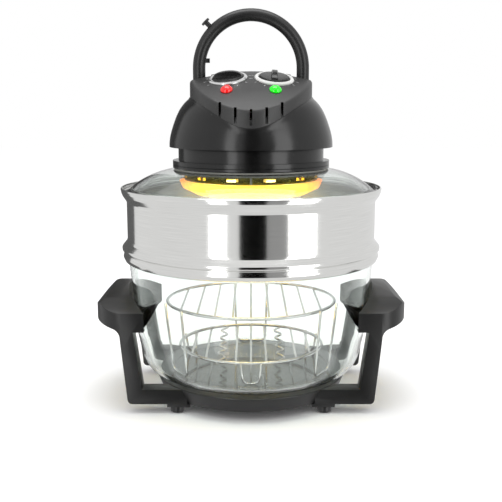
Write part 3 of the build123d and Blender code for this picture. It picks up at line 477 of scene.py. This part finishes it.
def printed_white(name):
    """Pad-printed ink: slightly worn light grey marks."""
    material, tree, shader = new_finish(name, "#c8c8c8", roughness=0.55)
    worn = noise(tree, object_space(tree), 1 / (1.5 * MM), 3.0)
    tint(tree, shader, worn, "#8f8f8f", "#d8d8d8")
    return material


def floor_paper(name):
    """Seamless paper sweep: white, with a faint tooth."""
    material, tree, shader = new_finish(name, "#ffffff", roughness=0.9)
    tooth = noise(tree, object_space(tree), 1 / (2 * MM), 2.0)
    bump(tree, shader, tooth, 0.05, 0.1)
    return material


finishes = {}


def make_finishes():
    finishes["nylon"] = moulded_nylon("black_nylon", "#161616", "#1f1f1f", 0.36)
    finishes["gloss_nylon"] = moulded_nylon("gloss_black_nylon", "#101010", "#171717", 0.2)
    finishes["panel"] = moulded_nylon("grey_black_nylon", "#2c2c2c", "#353535", 0.42)
    finishes["knob"] = moulded_nylon("knob_phenolic", "#0e0e0e", "#151515", 0.28)
    finishes["glass"] = pressed_glass("borosilicate_glass", "#f7fbf9")
    finishes["stainless"] = brushed_stainless("brushed_304", "#e6e6e4", "#f2f2f0", 0.13)
    finishes["chrome"] = bright_metal("chromed_wire", "#d8d8d8", 0.1)
    finishes["ring"] = bright_metal("plated_ring", "#f0f0f0", 0.18)
    finishes["white_ring"] = moulded_nylon("white_acetal", "#d2d2d0", "#e4e4e2", 0.35)
    finishes["zinc"] = bright_metal("zinc_plated_steel", "#9a9a96", 0.32)
    finishes["reflector"] = bright_metal("heat_tinted_steel", "#6e6838", 0.24)
    finishes["aluminium"] = bright_metal("stamped_aluminium", "#c9c9c9", 0.35)
    # the guard's glow is painted lamplight, not a lamp of its own
    finishes["guard"] = guard_with_painted_lamplight("heat_tinted_guard_painted_lamplight")
    finishes["lamp"] = glowing("halogen_quartz", "#ffd890", "#fff2b0", "#ffb440", 9.0, 20)
    finishes["red"] = lit_lens("red_acrylic", "#e01818", "#8c0606")
    finishes["green"] = lit_lens("green_acrylic", "#12e412", "#067a0a")
    finishes["silicone"] = powdery("grey_silicone", "#8c8c88", "#a0a09a", 0.55, 0.4)
    finishes["rubber"] = powdery("black_rubber", "#151515", "#202020", 0.75, 0.4)
    finishes["ceramic"] = powdery("steatite", "#d6cfbe", "#e6e0d2", 0.6, 0.3)
    finishes["white_plastic"] = moulded_nylon("white_pbt", "#c9c6bc", "#d6d3ca", 0.45)
    finishes["copper"] = copper_winding("copper_winding")
    finishes["ink"] = printed_white("pad_print")


# ---------------------------------------------------------------- turned outlines (millimetres)
def bowl_outline():
    """Bowl wall, from the middle of its underside out, up, over the lip and back inside."""
    base, rim = low("glass_bowl").z / MM, high("glass_bowl").z / MM
    lip = high("glass_bowl").x / MM
    wall = settings().glass_wall / MM
    outer = [(0, base), (BOWL_FOOT, base, 34), (BOWL_BELLY, BOWL_BELLY_HEIGHT, 60),
             (BOWL_NECK, rim - 13, 5), (lip, rim - 7.5, 3), (lip, rim, 2)]
    inner = [(BOWL_NECK - wall, rim, 2), (BOWL_NECK - wall, rim - 13, 6),
             (BOWL_BELLY - wall, BOWL_BELLY_HEIGHT, 60), (BOWL_FOOT - wall, base + wall, 29),
             (0, base + wall)]
    return rounded(outer + inner, 3, 9)


def extender_outline():
    """Spun ring: skirt with two beads, seat on the bowl's lip, plain wall and flared rim."""
    base, rim = low("extender_ring").z / MM, high("extender_ring").z / MM
    lip = high("extender_ring").x / MM
    wall = lip - EXTENDER_STEP
    seat = high("glass_bowl").z / MM + 0.1
    outside = [(156.3, base, 0.3), (158.6, base + 5, 3), (156.4, base + 10.5, 1.2),
               (lip - 0.5, base + 13, 2.5), (lip - 0.3, base + 16, 2.5), (wall + 1, base + 23, 3),
               (wall, base + 26, 4), (wall, rim - 17.5, 2), (wall + 0.6, rim - 16, 2),
               (wall + 2.4, rim - 13.4, 5), (lip - 2.2, rim - 9.8, 5), (lip - 0.6, rim - 5.5, 5),
               (lip, rim - 2.2, 3), (lip - 0.3, rim - 0.7, 0.6), (lip - 1.1, rim, 0.5)]
    inside = [(lip - 2.0, rim - 0.4, 0.4), (lip - 1.3, rim - 2.0, 1.5), (lip - 1.7, rim - 5.1, 4),
              (lip - 3.3, rim - 9.3, 4), (wall + 1.3, rim - 12.6, 4), (wall - 1, rim - 16, 2),
              (wall - 1, base + 23, 2), (EXTENDER_SEAT, seat + 1.2, 0.5), (EXTENDER_SEAT, seat, 0.3),
              (EXTENDER_SKIRT, seat, 0.3), (EXTENDER_SKIRT, base, 0.3)]
    return rounded(outside + inside, 0.8, 5)


def lid_outline():
    """Domed glass ring with a flat flange that sits in the extender's rim."""
    top, foot = high("lid_glass").z / MM, low("lid_glass").z / MM
    edge, wall = high("lid_glass").x / MM, settings().glass_wall / MM
    dome_top = arc_through((96, top), (128, 276.5), (150, 262), 16)
    dome_under = arc_through((146, foot), (124, 272.3), (96, top - wall), 16)
    flange = [(edge, 260.5), (edge, foot)]
    return [(LID_HOLE, top - wall), (LID_HOLE, top)] + dome_top + flange + dome_under


def collar_outline():
    """Flat moulded ring that clamps the lid's glass."""
    base, top = low("collar_ring").z / MM, high("collar_ring").z / MM
    edge = high("collar_ring").x / MM
    corners = [(COLLAR_HOLE, base), (edge - 0.8, base), (edge, base + 0.8), (edge, top), (COLLAR_HOLE, top)]
    return rounded(corners, 0.5, 3)


# ---------------------------------------------------------------- geometry node trees
def tree_sockets(tree, fields):
    """Named inputs and the geometry output of a node tree."""
    tree.interface.new_socket("Geometry", in_out="OUTPUT", socket_type="NodeSocketGeometry")
    for name, kind, value in fields:
        socket = tree.interface.new_socket(name, in_out="INPUT", socket_type=kind)
        if value is not None:
            socket.default_value = value


def run_tree(tree, values):
    """Evaluates a node tree once and returns its plain mesh."""
    holder = bpy.data.objects.new(tree.name, bpy.data.meshes.new(tree.name))
    bpy.context.scene.collection.objects.link(holder)
    modifier = holder.modifiers.new("build", "NODES")
    modifier.node_group = tree
    for item in tree.interface.items_tree:
        if item.in_out == "INPUT" and item.name in values:
            modifier[item.identifier] = values[item.name]
    return baked(holder)


def math_node(tree, operation, first, second=None):
    """Output of one sum on sockets or plain numbers."""
    node = add(tree, "ShaderNodeMath", {"operation": operation})
    for i, value in enumerate((first, second)):
        if isinstance(value, (int, float)):
            node.inputs[i].default_value = value
        elif value is not None:
            tree.links.new(value, node.inputs[i])
    return node.outputs[0]


def rack_tree():
    """Wire rack: a ring and straight bars whose lengths follow the circle."""
    tree = bpy.data.node_groups.new("wire_rack", "GeometryNodeTree")
    tree_sockets(tree, [("Radius", "NodeSocketFloat", 0.1), ("Height", "NodeSocketFloat", 0.1),
                        ("Ring Wire", "NodeSocketFloat", 0.0019), ("Bar Wire", "NodeSocketFloat", 0.0014),
                        ("Bars", "NodeSocketInt", 9), ("Skip", "NodeSocketInt", -1),
                        ("Material", "NodeSocketMaterial", None)])
    given = add(tree, "NodeGroupInput").outputs
    ring = add(tree, "GeometryNodeCurvePrimitiveCircle", values={"Resolution": 160},
               links={"Radius": given["Radius"]})
    ring_profile = add(tree, "GeometryNodeCurvePrimitiveCircle", values={"Resolution": 16},
                       links={"Radius": given["Ring Wire"]})
    ring_mesh = add(tree, "GeometryNodeCurveToMesh", links={
        "Curve": ring.outputs["Curve"], "Profile Curve": ring_profile.outputs["Curve"]})

    pitch = math_node(tree, "DIVIDE", math_node(tree, "MULTIPLY", given["Radius"], 2.0),
                      math_node(tree, "ADD", given["Bars"], 1.0))
    first = math_node(tree, "MULTIPLY", pitch, math_node(
        tree, "MULTIPLY", math_node(tree, "SUBTRACT", given["Bars"], 1.0), -0.5))
    start = add(tree, "ShaderNodeCombineXYZ", links={"X": first})
    step = add(tree, "ShaderNodeCombineXYZ", links={"X": pitch})
    row = add(tree, "GeometryNodeMeshLine", links={
        "Count": given["Bars"], "Start Location": start.outputs[0], "Offset": step.outputs[0]})
    position = add(tree, "GeometryNodeInputPosition").outputs[0]
    place = add(tree, "ShaderNodeSeparateXYZ", links={"Vector": position})
    square = math_node(tree, "MULTIPLY", place.outputs["X"], place.outputs["X"])
    chord = math_node(tree, "SQRT", math_node(tree, "SUBTRACT", math_node(
        tree, "MULTIPLY", given["Radius"], given["Radius"]), square))
    stretch = add(tree, "ShaderNodeCombineXYZ", values={"X": 1.0, "Z": 1.0}, links={"Y": chord})
    line = add(tree, "GeometryNodeCurvePrimitiveLine", values={"Start": (0, -1, 0), "End": (0, 1, 0)})
    index = add(tree, "GeometryNodeInputIndex")
    last = math_node(tree, "SUBTRACT", math_node(tree, "SUBTRACT", given["Bars"], 1.0), given["Skip"])
    is_first = math_node(tree, "COMPARE", index.outputs[0], given["Skip"])
    is_last = math_node(tree, "COMPARE", index.outputs[0], last)
    skipped = math_node(tree, "MAXIMUM", is_first, is_last)
    keep = math_node(tree, "LESS_THAN", skipped, 0.5)
    bars = add(tree, "GeometryNodeInstanceOnPoints", links={
        "Points": row.outputs["Mesh"], "Instance": line.outputs["Curve"], "Scale": stretch.outputs[0],
        "Selection": keep})
    real = add(tree, "GeometryNodeRealizeInstances", links={"Geometry": bars.outputs["Instances"]})
    bar_profile = add(tree, "GeometryNodeCurvePrimitiveCircle", values={"Resolution": 12},
                      links={"Radius": given["Bar Wire"]})
    bar_mesh = add(tree, "GeometryNodeCurveToMesh", values={"Fill Caps": True}, links={
        "Curve": real.outputs["Geometry"], "Profile Curve": bar_profile.outputs["Curve"]})
    below = math_node(tree, "MULTIPLY", given["Bar Wire"], -1.0)
    drop = add(tree, "ShaderNodeCombineXYZ", links={"Z": below})
    lowered = add(tree, "GeometryNodeTransform", links={
        "Geometry": bar_mesh.outputs["Mesh"], "Translation": drop.outputs[0]})
    both = add(tree, "GeometryNodeJoinGeometry")
    tree.links.new(ring_mesh.outputs["Mesh"], both.inputs[0])
    tree.links.new(lowered.outputs["Geometry"], both.inputs[0])
    lift = add(tree, "ShaderNodeCombineXYZ", links={"Z": given["Height"]})
    placed = add(tree, "GeometryNodeTransform", links={
        "Geometry": both.outputs[0], "Translation": lift.outputs[0]})
    end = add(tree, "GeometryNodeRealizeInstances", links={"Geometry": placed.outputs["Geometry"]})
    dressed = add(tree, "GeometryNodeSetMaterial", links={
        "Geometry": end.outputs["Geometry"], "Material": given["Material"]})
    add(tree, "NodeGroupOutput", links={"Geometry": dressed.outputs["Geometry"]})
    return tree


def tick_tree():
    """Printed dial marks: short bars evenly spaced along an arc about the origin."""
    tree = bpy.data.node_groups.new("dial_marks", "GeometryNodeTree")
    tree_sockets(tree, [("Radius", "NodeSocketFloat", 0.024), ("Sweep", "NodeSocketFloat", 4.7),
                        ("Start", "NodeSocketFloat", 0.0), ("Marks", "NodeSocketInt", 11),
                        ("Length", "NodeSocketFloat", 0.003), ("Width", "NodeSocketFloat", 0.0006),
                        ("Material", "NodeSocketMaterial", None)])
    given = add(tree, "NodeGroupInput").outputs
    row = add(tree, "GeometryNodeMeshLine", links={"Count": given["Marks"]})
    index = add(tree, "GeometryNodeInputIndex")
    step = math_node(tree, "DIVIDE", given["Sweep"], math_node(tree, "SUBTRACT", given["Marks"], 1.0))
    angle = math_node(tree, "ADD", given["Start"], math_node(tree, "MULTIPLY", index.outputs[0], step))
    place = add(tree, "ShaderNodeCombineXYZ", links={
        "X": math_node(tree, "MULTIPLY", given["Radius"], math_node(tree, "COSINE", angle)),
        "Y": math_node(tree, "MULTIPLY", given["Radius"], math_node(tree, "SINE", angle))})
    arc = add(tree, "GeometryNodeSetPosition", links={
        "Geometry": row.outputs["Mesh"], "Position": place.outputs[0]})
    size = add(tree, "ShaderNodeCombineXYZ", values={"Z": 0.0001}, links={
        "X": given["Length"], "Y": given["Width"]})
    bar = add(tree, "GeometryNodeMeshCube", links={"Size": size.outputs[0]})
    turn = add(tree, "ShaderNodeCombineXYZ", links={"Z": angle})
    marks = add(tree, "GeometryNodeInstanceOnPoints", links={
        "Points": arc.outputs["Geometry"], "Instance": bar.outputs["Mesh"], "Rotation": turn.outputs[0]})
    real = add(tree, "GeometryNodeRealizeInstances", links={"Geometry": marks.outputs["Instances"]})
    dressed = add(tree, "GeometryNodeSetMaterial", links={
        "Geometry": real.outputs["Geometry"], "Material": given["Material"]})
    add(tree, "NodeGroupOutput", links={"Geometry": dressed.outputs["Geometry"]})
    return tree


# ---------------------------------------------------------------- settings
class AirFryerSettings(bpy.types.PropertyGroup):
    """Sizes and colours that a user would change."""
    glass_wall: FloatProperty(name="Glass wall", description="Thickness of the bowl and lid glass",
                              default=4.5 * MM, min=0.002, max=0.008, unit="LENGTH")
    round_segments: IntProperty(name="Round segments", description="Facets round each turned piece",
                                default=192, min=32, max=512)
    dial_marks: IntProperty(name="Dial marks", description="Printed marks round each dial",
                            default=11, min=3, max=41)
    rack_bars: IntProperty(name="Rack bars", description="Bars across each wire rack",
                           default=9, min=3, max=21)
    floor_colour: FloatVectorProperty(name="Floor", description="Colour of the floor and backdrop",
                                      default=(1.0, 1.0, 1.0), min=0, max=1, subtype="COLOR")
    key_power: FloatProperty(name="Key light", description="Power of the overhead softbox",
                             default=16.0, min=0, max=500, unit="POWER")


# ---------------------------------------------------------------- operators
class AIRFRYER_OT_stage(bpy.types.Operator):
    """Pale floor, soft studio light and the camera"""
    bl_idname = "airfryer.stage"
    bl_label = "Stage"

    def execute(self, context):
        colour = settings().floor_colour
        material = floor_paper("paper_sweep")
        shader = material.node_tree.nodes["Principled BSDF"]
        shader.inputs["Base Color"].default_value = (*colour, 1)
        shader.inputs["Specular IOR Level"].default_value = 0.0
        reach = FLOOR_REACH
        sheet = bmesh.new()
        corners = [(-reach, -reach), (reach, -reach), (reach, reach), (-reach, reach)]
        sheet.faces.new([sheet.verts.new((x, y, 0)) for x, y in corners])
        mesh = bpy.data.meshes.new("floor")
        sheet.to_mesh(mesh)
        sheet.free()
        mesh.materials.append(material)
        floor = bpy.data.objects.new("floor", mesh)
        floor.visible_glossy = False
        context.scene.collection.objects.link(floor)
        self.cards(context)
        self.lights(context)
        self.camera(context)
        return {"FINISHED"}

    def cards(self, context):
        """Curved cards round the set that only reflections see: (name, turn from, turn to, tone)."""
        layout = [("white_left", -35, -21, 3.0), ("black_centre", -9.7, 13, 0.0),
                  ("grey_right", 13, 32, 0.31), ("white_right", 32, 57, 3.0),
                  ("dark_left", -165, -128, 0.12)]
        for name, start, end, tone in layout:
            material = bpy.data.materials.new(name)
            material.use_nodes = True
            material.node_tree.nodes.clear()
            glow = add(material.node_tree, "ShaderNodeEmission", values={"Strength": tone})
            add(material.node_tree, "ShaderNodeOutputMaterial", links={"Surface": glow.outputs["Emission"]})
            sheet = bmesh.new()
            rails = []
            for i in range(CARD_STEPS + 1):
                turn = math.radians(start + (end - start) * i / CARD_STEPS)
                x, y = CARD_RADIUS * math.sin(turn), -CARD_RADIUS * math.cos(turn)
                rails.append((sheet.verts.new((x, y, CARD_BOTTOM)), sheet.verts.new((x, y, CARD_TOP))))
            for first, second in zip(rails, rails[1:]):
                sheet.faces.new([first[0], second[0], second[1], first[1]])
            mesh = bpy.data.meshes.new(name)
            sheet.to_mesh(mesh)
            sheet.free()
            mesh.materials.append(material)
            card = bpy.data.objects.new(name, mesh)
            card.visible_camera = card.visible_diffuse = card.visible_transmission = False
            card.visible_shadow = card.visible_volume_scatter = False
            context.scene.collection.objects.link(card)

    def lights(self, context):
        """Overhead softbox, and a white room that reflections see a little dimmer."""
        world = bpy.data.worlds.new("studio")
        world.use_nodes = True
        tree = world.node_tree
        room = tree.nodes["Background"]
        room.inputs["Color"].default_value = (1, 1, 1, 1)
        path = add(tree, "ShaderNodeLightPath")
        dim = add(tree, "ShaderNodeMapRange", values={"To Min": 1.0, "To Max": REFLECTED_ROOM},
                  links={"Value": path.outputs["Is Glossy Ray"]})
        tree.links.new(dim.outputs["Result"], room.inputs["Strength"])
        context.scene.world = world
        data = bpy.data.lights.new("overhead", "AREA")
        data.shape = "RECTANGLE"
        data.size = 1.4
        data.size_y = 1.0
        data.energy = settings().key_power
        lamp = bpy.data.objects.new("overhead", data)
        lamp.location = (0, -0.1, 1.9)
        aim = Vector((0, 0, 0.2))
        lamp.rotation_euler = (aim - Vector(lamp.location)).to_track_quat("-Z", "Y").to_euler()
        context.scene.collection.objects.link(lamp)

    def camera(self, context):
        """Camera a metre in front, ten degrees down."""
        data = bpy.data.cameras.new("camera")
        data.lens = CAMERA_LENS
        data.sensor_width = CAMERA_SENSOR
        data.clip_start = 0.05
        data.clip_end = 50
        camera = bpy.data.objects.new("camera", data)
        camera.location = CAMERA_PLACE
        camera.rotation_euler = (math.radians(90 - CAMERA_DOWN), 0, 0)
        context.scene.collection.objects.link(camera)
        context.scene.camera = camera
        context.scene.view_settings.view_transform = "Standard"


class AIRFRYER_OT_glassware(bpy.types.Operator):
    """Glass bowl and domed glass lid"""
    bl_idname = "airfryer.glassware"
    bl_label = "Glassware"

    def execute(self, context):
        count = settings().round_segments
        glass = finishes["glass"]
        finish_mesh("bowl_glass", lathe(bowl_outline(), count), glass, "bowl", ("glass_bowl",))
        finish_mesh("lid_glass_ring", lathe(lid_outline(), count), glass, "head", ("lid_glass",))
        return {"FINISHED"}


class AIRFRYER_OT_extender(bpy.types.Operator):
    """Spun stainless extender ring"""
    bl_idname = "airfryer.extender"
    bl_label = "Extender Ring"

    def execute(self, context):
        mesh = lathe(extender_outline(), settings().round_segments)
        finish_mesh("extender_steel", mesh, finishes["stainless"], "extender", ("extender_ring",))
        return {"FINISHED"}


class AIRFRYER_OT_stand(bpy.types.Operator):
    """Base tray, side handles, feet and pads"""
    bl_idname = "airfryer.stand"
    bl_label = "Stand"

    def execute(self, context):
        repaint("base_tray", finishes["nylon"])
        for side in ("left", "right"):
            refine_piece(side + "_side_handle", side + "_handle", finishes["nylon"], "stand", 1.6)
            refine_piece(side + "_grip_liner", side + "_handle_liner", finishes["nylon"], "stand", 0.4)
        refine_piece("round_feet", "feet", finishes["nylon"], "stand", 0.5)
        repaint("foot_pads", finishes["rubber"])
        repaint("bowl_rest_pads", finishes["silicone"])
        for node in ("stand_screws", "handle_liner_screws"):
            repaint(node, finishes["zinc"])
        return {"FINISHED"}


class AIRFRYER_OT_head_shells(bpy.types.Operator):
    """Collar, neck, flared housing and control cover"""
    bl_idname = "airfryer.head_shells"
    bl_label = "Head Shells"

    def execute(self, context):
        repaint("lid_gasket", finishes["silicone"])
        nylon = finishes["gloss_nylon"]
        collar = lathe(collar_outline(), settings().round_segments)
        finish_mesh("collar_moulding", collar, nylon, "head", ("collar_ring",))
        refine_piece("neck_moulding", "neck_ring", nylon, "head", 0.6)
        refine_piece("flared_housing", "lower_housing", nylon, "head", 0.8)
        refine_piece("control_cover", "top_cover", finishes["panel"], "head", 0.4)
        refine_piece("cord_bushing", "cord_gland", finishes["rubber"], "head", 0.4)
        repaint("clamp_ring", finishes["zinc"])
        repaint("clamp_screws", finishes["zinc"])
        repaint("housing_screws", finishes["zinc"])
        return {"FINISHED"}


class AIRFRYER_OT_controls(bpy.types.Operator):
    """Knobs, dial rings, printed marks and lamps"""
    bl_idname = "airfryer.controls"
    bl_label = "Controls"

    def execute(self, context):
        refine_piece("timer_dial", "timer_knob", finishes["knob"], "timer_knob", 0.5)
        refine_piece("temperature_dial", "temperature_knob", finishes["knob"], "temperature_knob", 0.5)
        refine_piece("timer_ring", "timer_dial_ring", finishes["ring"], "head", 0.15)
        refine_piece("temperature_ring", "temperature_dial_ring", finishes["white_ring"], "head", 0.15)
        refine_piece("power_lens", "power_lamp", finishes["red"], "head")
        refine_piece("heat_lens", "heat_lamp", finishes["green"], "head")
        tree = tick_tree()
        self.marks(tree, "timer_marks", "timer_turn")
        self.marks(tree, "temperature_marks", "temperature_turn")
        return {"FINISHED"}

    def marks(self, tree, name, joint_name):
        """Marks round one dial, laid onto the domed cover."""
        joint = next(j for j in frame["record"]["behaviour"]["joints"] if j["name"] == joint_name)
        centre, normal = Vector(joint["pos_m"]), -Vector(joint["axis"]).normalized()
        mesh = run_tree(tree, {"Marks": settings().dial_marks, "Start": MARK_START, "Sweep": MARK_SWEEP,
                               "Radius": MARK_RADIUS, "Material": finishes["ink"]})
        turn = normal.to_track_quat("Z", "Y").to_matrix()
        cover = frame["nodes"]["top_cover"].data
        places = [vertex.co for vertex in cover.vertices]
        surface = BVHTree.FromPolygons(places, [face.vertices for face in cover.polygons])
        for vertex in mesh.vertices:
            thickness = vertex.co.z
            flat = centre + turn @ Vector((vertex.co.x, vertex.co.y, 0))
            hit = surface.ray_cast(flat + normal * MARK_RISE, -normal)[0]
            if hit is None:
                hit = flat
            vertex.co = hit + normal * (MARK_FILM + thickness)
        finish_mesh(name, mesh, finishes["ink"], "head")


class AIRFRYER_OT_bail(bpy.types.Operator):
    """Folding bail handle with its stud and peg"""
    bl_idname = "airfryer.bail"
    bl_label = "Bail Handle"

    def execute(self, context):
        refine_piece("bail_arch", "bail_tube", finishes["nylon"], "bail")
        refine_piece("bail_stud_and_peg", "bail_studs", finishes["nylon"], "bail", 0.3)
        repaint("bail_pins", finishes["zinc"])
        return {"FINISHED"}


class AIRFRYER_OT_heater(bpy.types.Operator):
    """Reflector drum, ring lamp and guard"""
    bl_idname = "airfryer.heater"
    bl_label = "Heater"

    def execute(self, context):
        refine_piece("reflector_shell", "reflector_drum", finishes["reflector"], "head", 0.2)
        refine_piece("lamp_guard", "heater_guard", finishes["guard"], "head", 0.2)
        repaint("ring_lamp", finishes["lamp"])
        repaint("lamp_end_blocks", finishes["ceramic"])
        repaint("lamp_clips", finishes["zinc"])
        repaint("heat_shield", finishes["aluminium"])
        repaint("thermostat_bulb", finishes["zinc"])
        return {"FINISHED"}


class AIRFRYER_OT_works(bpy.types.Operator):
    """Fan, motor, timer, thermostat and wiring blocks inside the head"""
    bl_idname = "airfryer.works"
    bl_label = "Inner Works"

    def execute(self, context):
        looks = {"hot_air_fan": "aluminium", "cooling_fan": "aluminium", "fan_shaft": "zinc",
                 "motor_rotor": "aluminium", "motor_core": "zinc", "motor_coil": "copper",
                 "motor_bracket": "zinc", "motor_bearings": "zinc", "timer_unit": "white_plastic",
                 "thermostat_unit": "ceramic", "thermal_cutout": "ceramic", "terminal_block": "white_plastic",
                 "safety_switch": "nylon", "switch_plunger": "white_plastic"}
        for node, finish in looks.items():
            repaint(node, finishes[finish])
        return {"FINISHED"}


class AIRFRYER_OT_racks(bpy.types.Operator):
    """Low and high wire racks"""
    bl_idname = "airfryer.racks"
    bl_label = "Wire Racks"

    def execute(self, context):
        tree = rack_tree()
        bars = settings().rack_bars
        for name, skip in (("low_rack", 2), ("high_rack", -1)):
            node = name + "_grid"
            radius = high(node).x - RING_WIRE
            height = high(node).z - RING_WIRE
            values = {"Radius": radius, "Height": height, "Ring Wire": RING_WIRE, "Bar Wire": BAR_WIRE,
                      "Bars": bars, "Skip": skip, "Material": finishes["chrome"]}
            meshes = [run_tree(tree, values)]
            if skip >= 0:
                meshes += self.wavy_bars(radius, height - BAR_WIRE, bars, skip)
            mesh = smooth(joined(meshes), WIRE_SMOOTH_ANGLE)
            finish_mesh(name + "_wires", mesh, finishes["chrome"], name, (node,))
            for leg in (1, 2, 3):
                leg_node = name + "_leg_" + str(leg)
                refine_piece(name + "_foot_" + str(leg), leg_node, finishes["chrome"], name)
        return {"FINISHED"}

    def wavy_bars(self, radius, height, bars, skip):
        """Two zigzag bars in the places of straight ones."""
        pitch = 2 * radius / (bars + 1)
        meshes = []
        for index in (skip, bars - 1 - skip):
            x = (index - (bars - 1) / 2) * pitch
            half = math.sqrt(radius ** 2 - x ** 2) - 1 * MM
            points = []
            for i in range(WAVES * WAVE_STEPS + 1):
                turn = i / WAVE_STEPS
                side = -math.cos(math.pi * turn)
                points.append((x + WAVE_SWING * side, -half + 2 * half * turn / WAVES, height))
            meshes.append(tube(points, BAR_WIRE, 4))
        return meshes


class AIRFRYER_PT_panel(bpy.types.Panel):
    """Lists the air fryer's pieces in the order they are built"""
    bl_label = "Air Fryer"
    bl_idname = "AIRFRYER_PT_panel"
    bl_space_type = "VIEW_3D"
    bl_region_type = "UI"
    bl_category = "Air Fryer"

    def draw(self, context):
        for name in AirFryerSettings.__annotations__:
            self.layout.prop(settings(), name)
        for operator in OPERATORS:
            self.layout.operator(operator.bl_idname)


OPERATORS = (AIRFRYER_OT_stage, AIRFRYER_OT_glassware, AIRFRYER_OT_extender, AIRFRYER_OT_stand,
             AIRFRYER_OT_head_shells, AIRFRYER_OT_controls, AIRFRYER_OT_bail, AIRFRYER_OT_heater,
             AIRFRYER_OT_works, AIRFRYER_OT_racks)


def register():
    for item in (AirFryerSettings, *OPERATORS, AIRFRYER_PT_panel):
        bpy.utils.register_class(item)
    bpy.types.Scene.air_fryer = PointerProperty(type=AirFryerSettings)


def unregister():
    del bpy.types.Scene.air_fryer
    for item in reversed((AirFryerSettings, *OPERATORS, AIRFRYER_PT_panel)):
        bpy.utils.unregister_class(item)


def main():
    register()
    make_finishes()
    for operator in OPERATORS:
        group, name = operator.bl_idname.split(".")
        getattr(getattr(bpy.ops, group), name)()


if __name__ == "__main__":
    main()
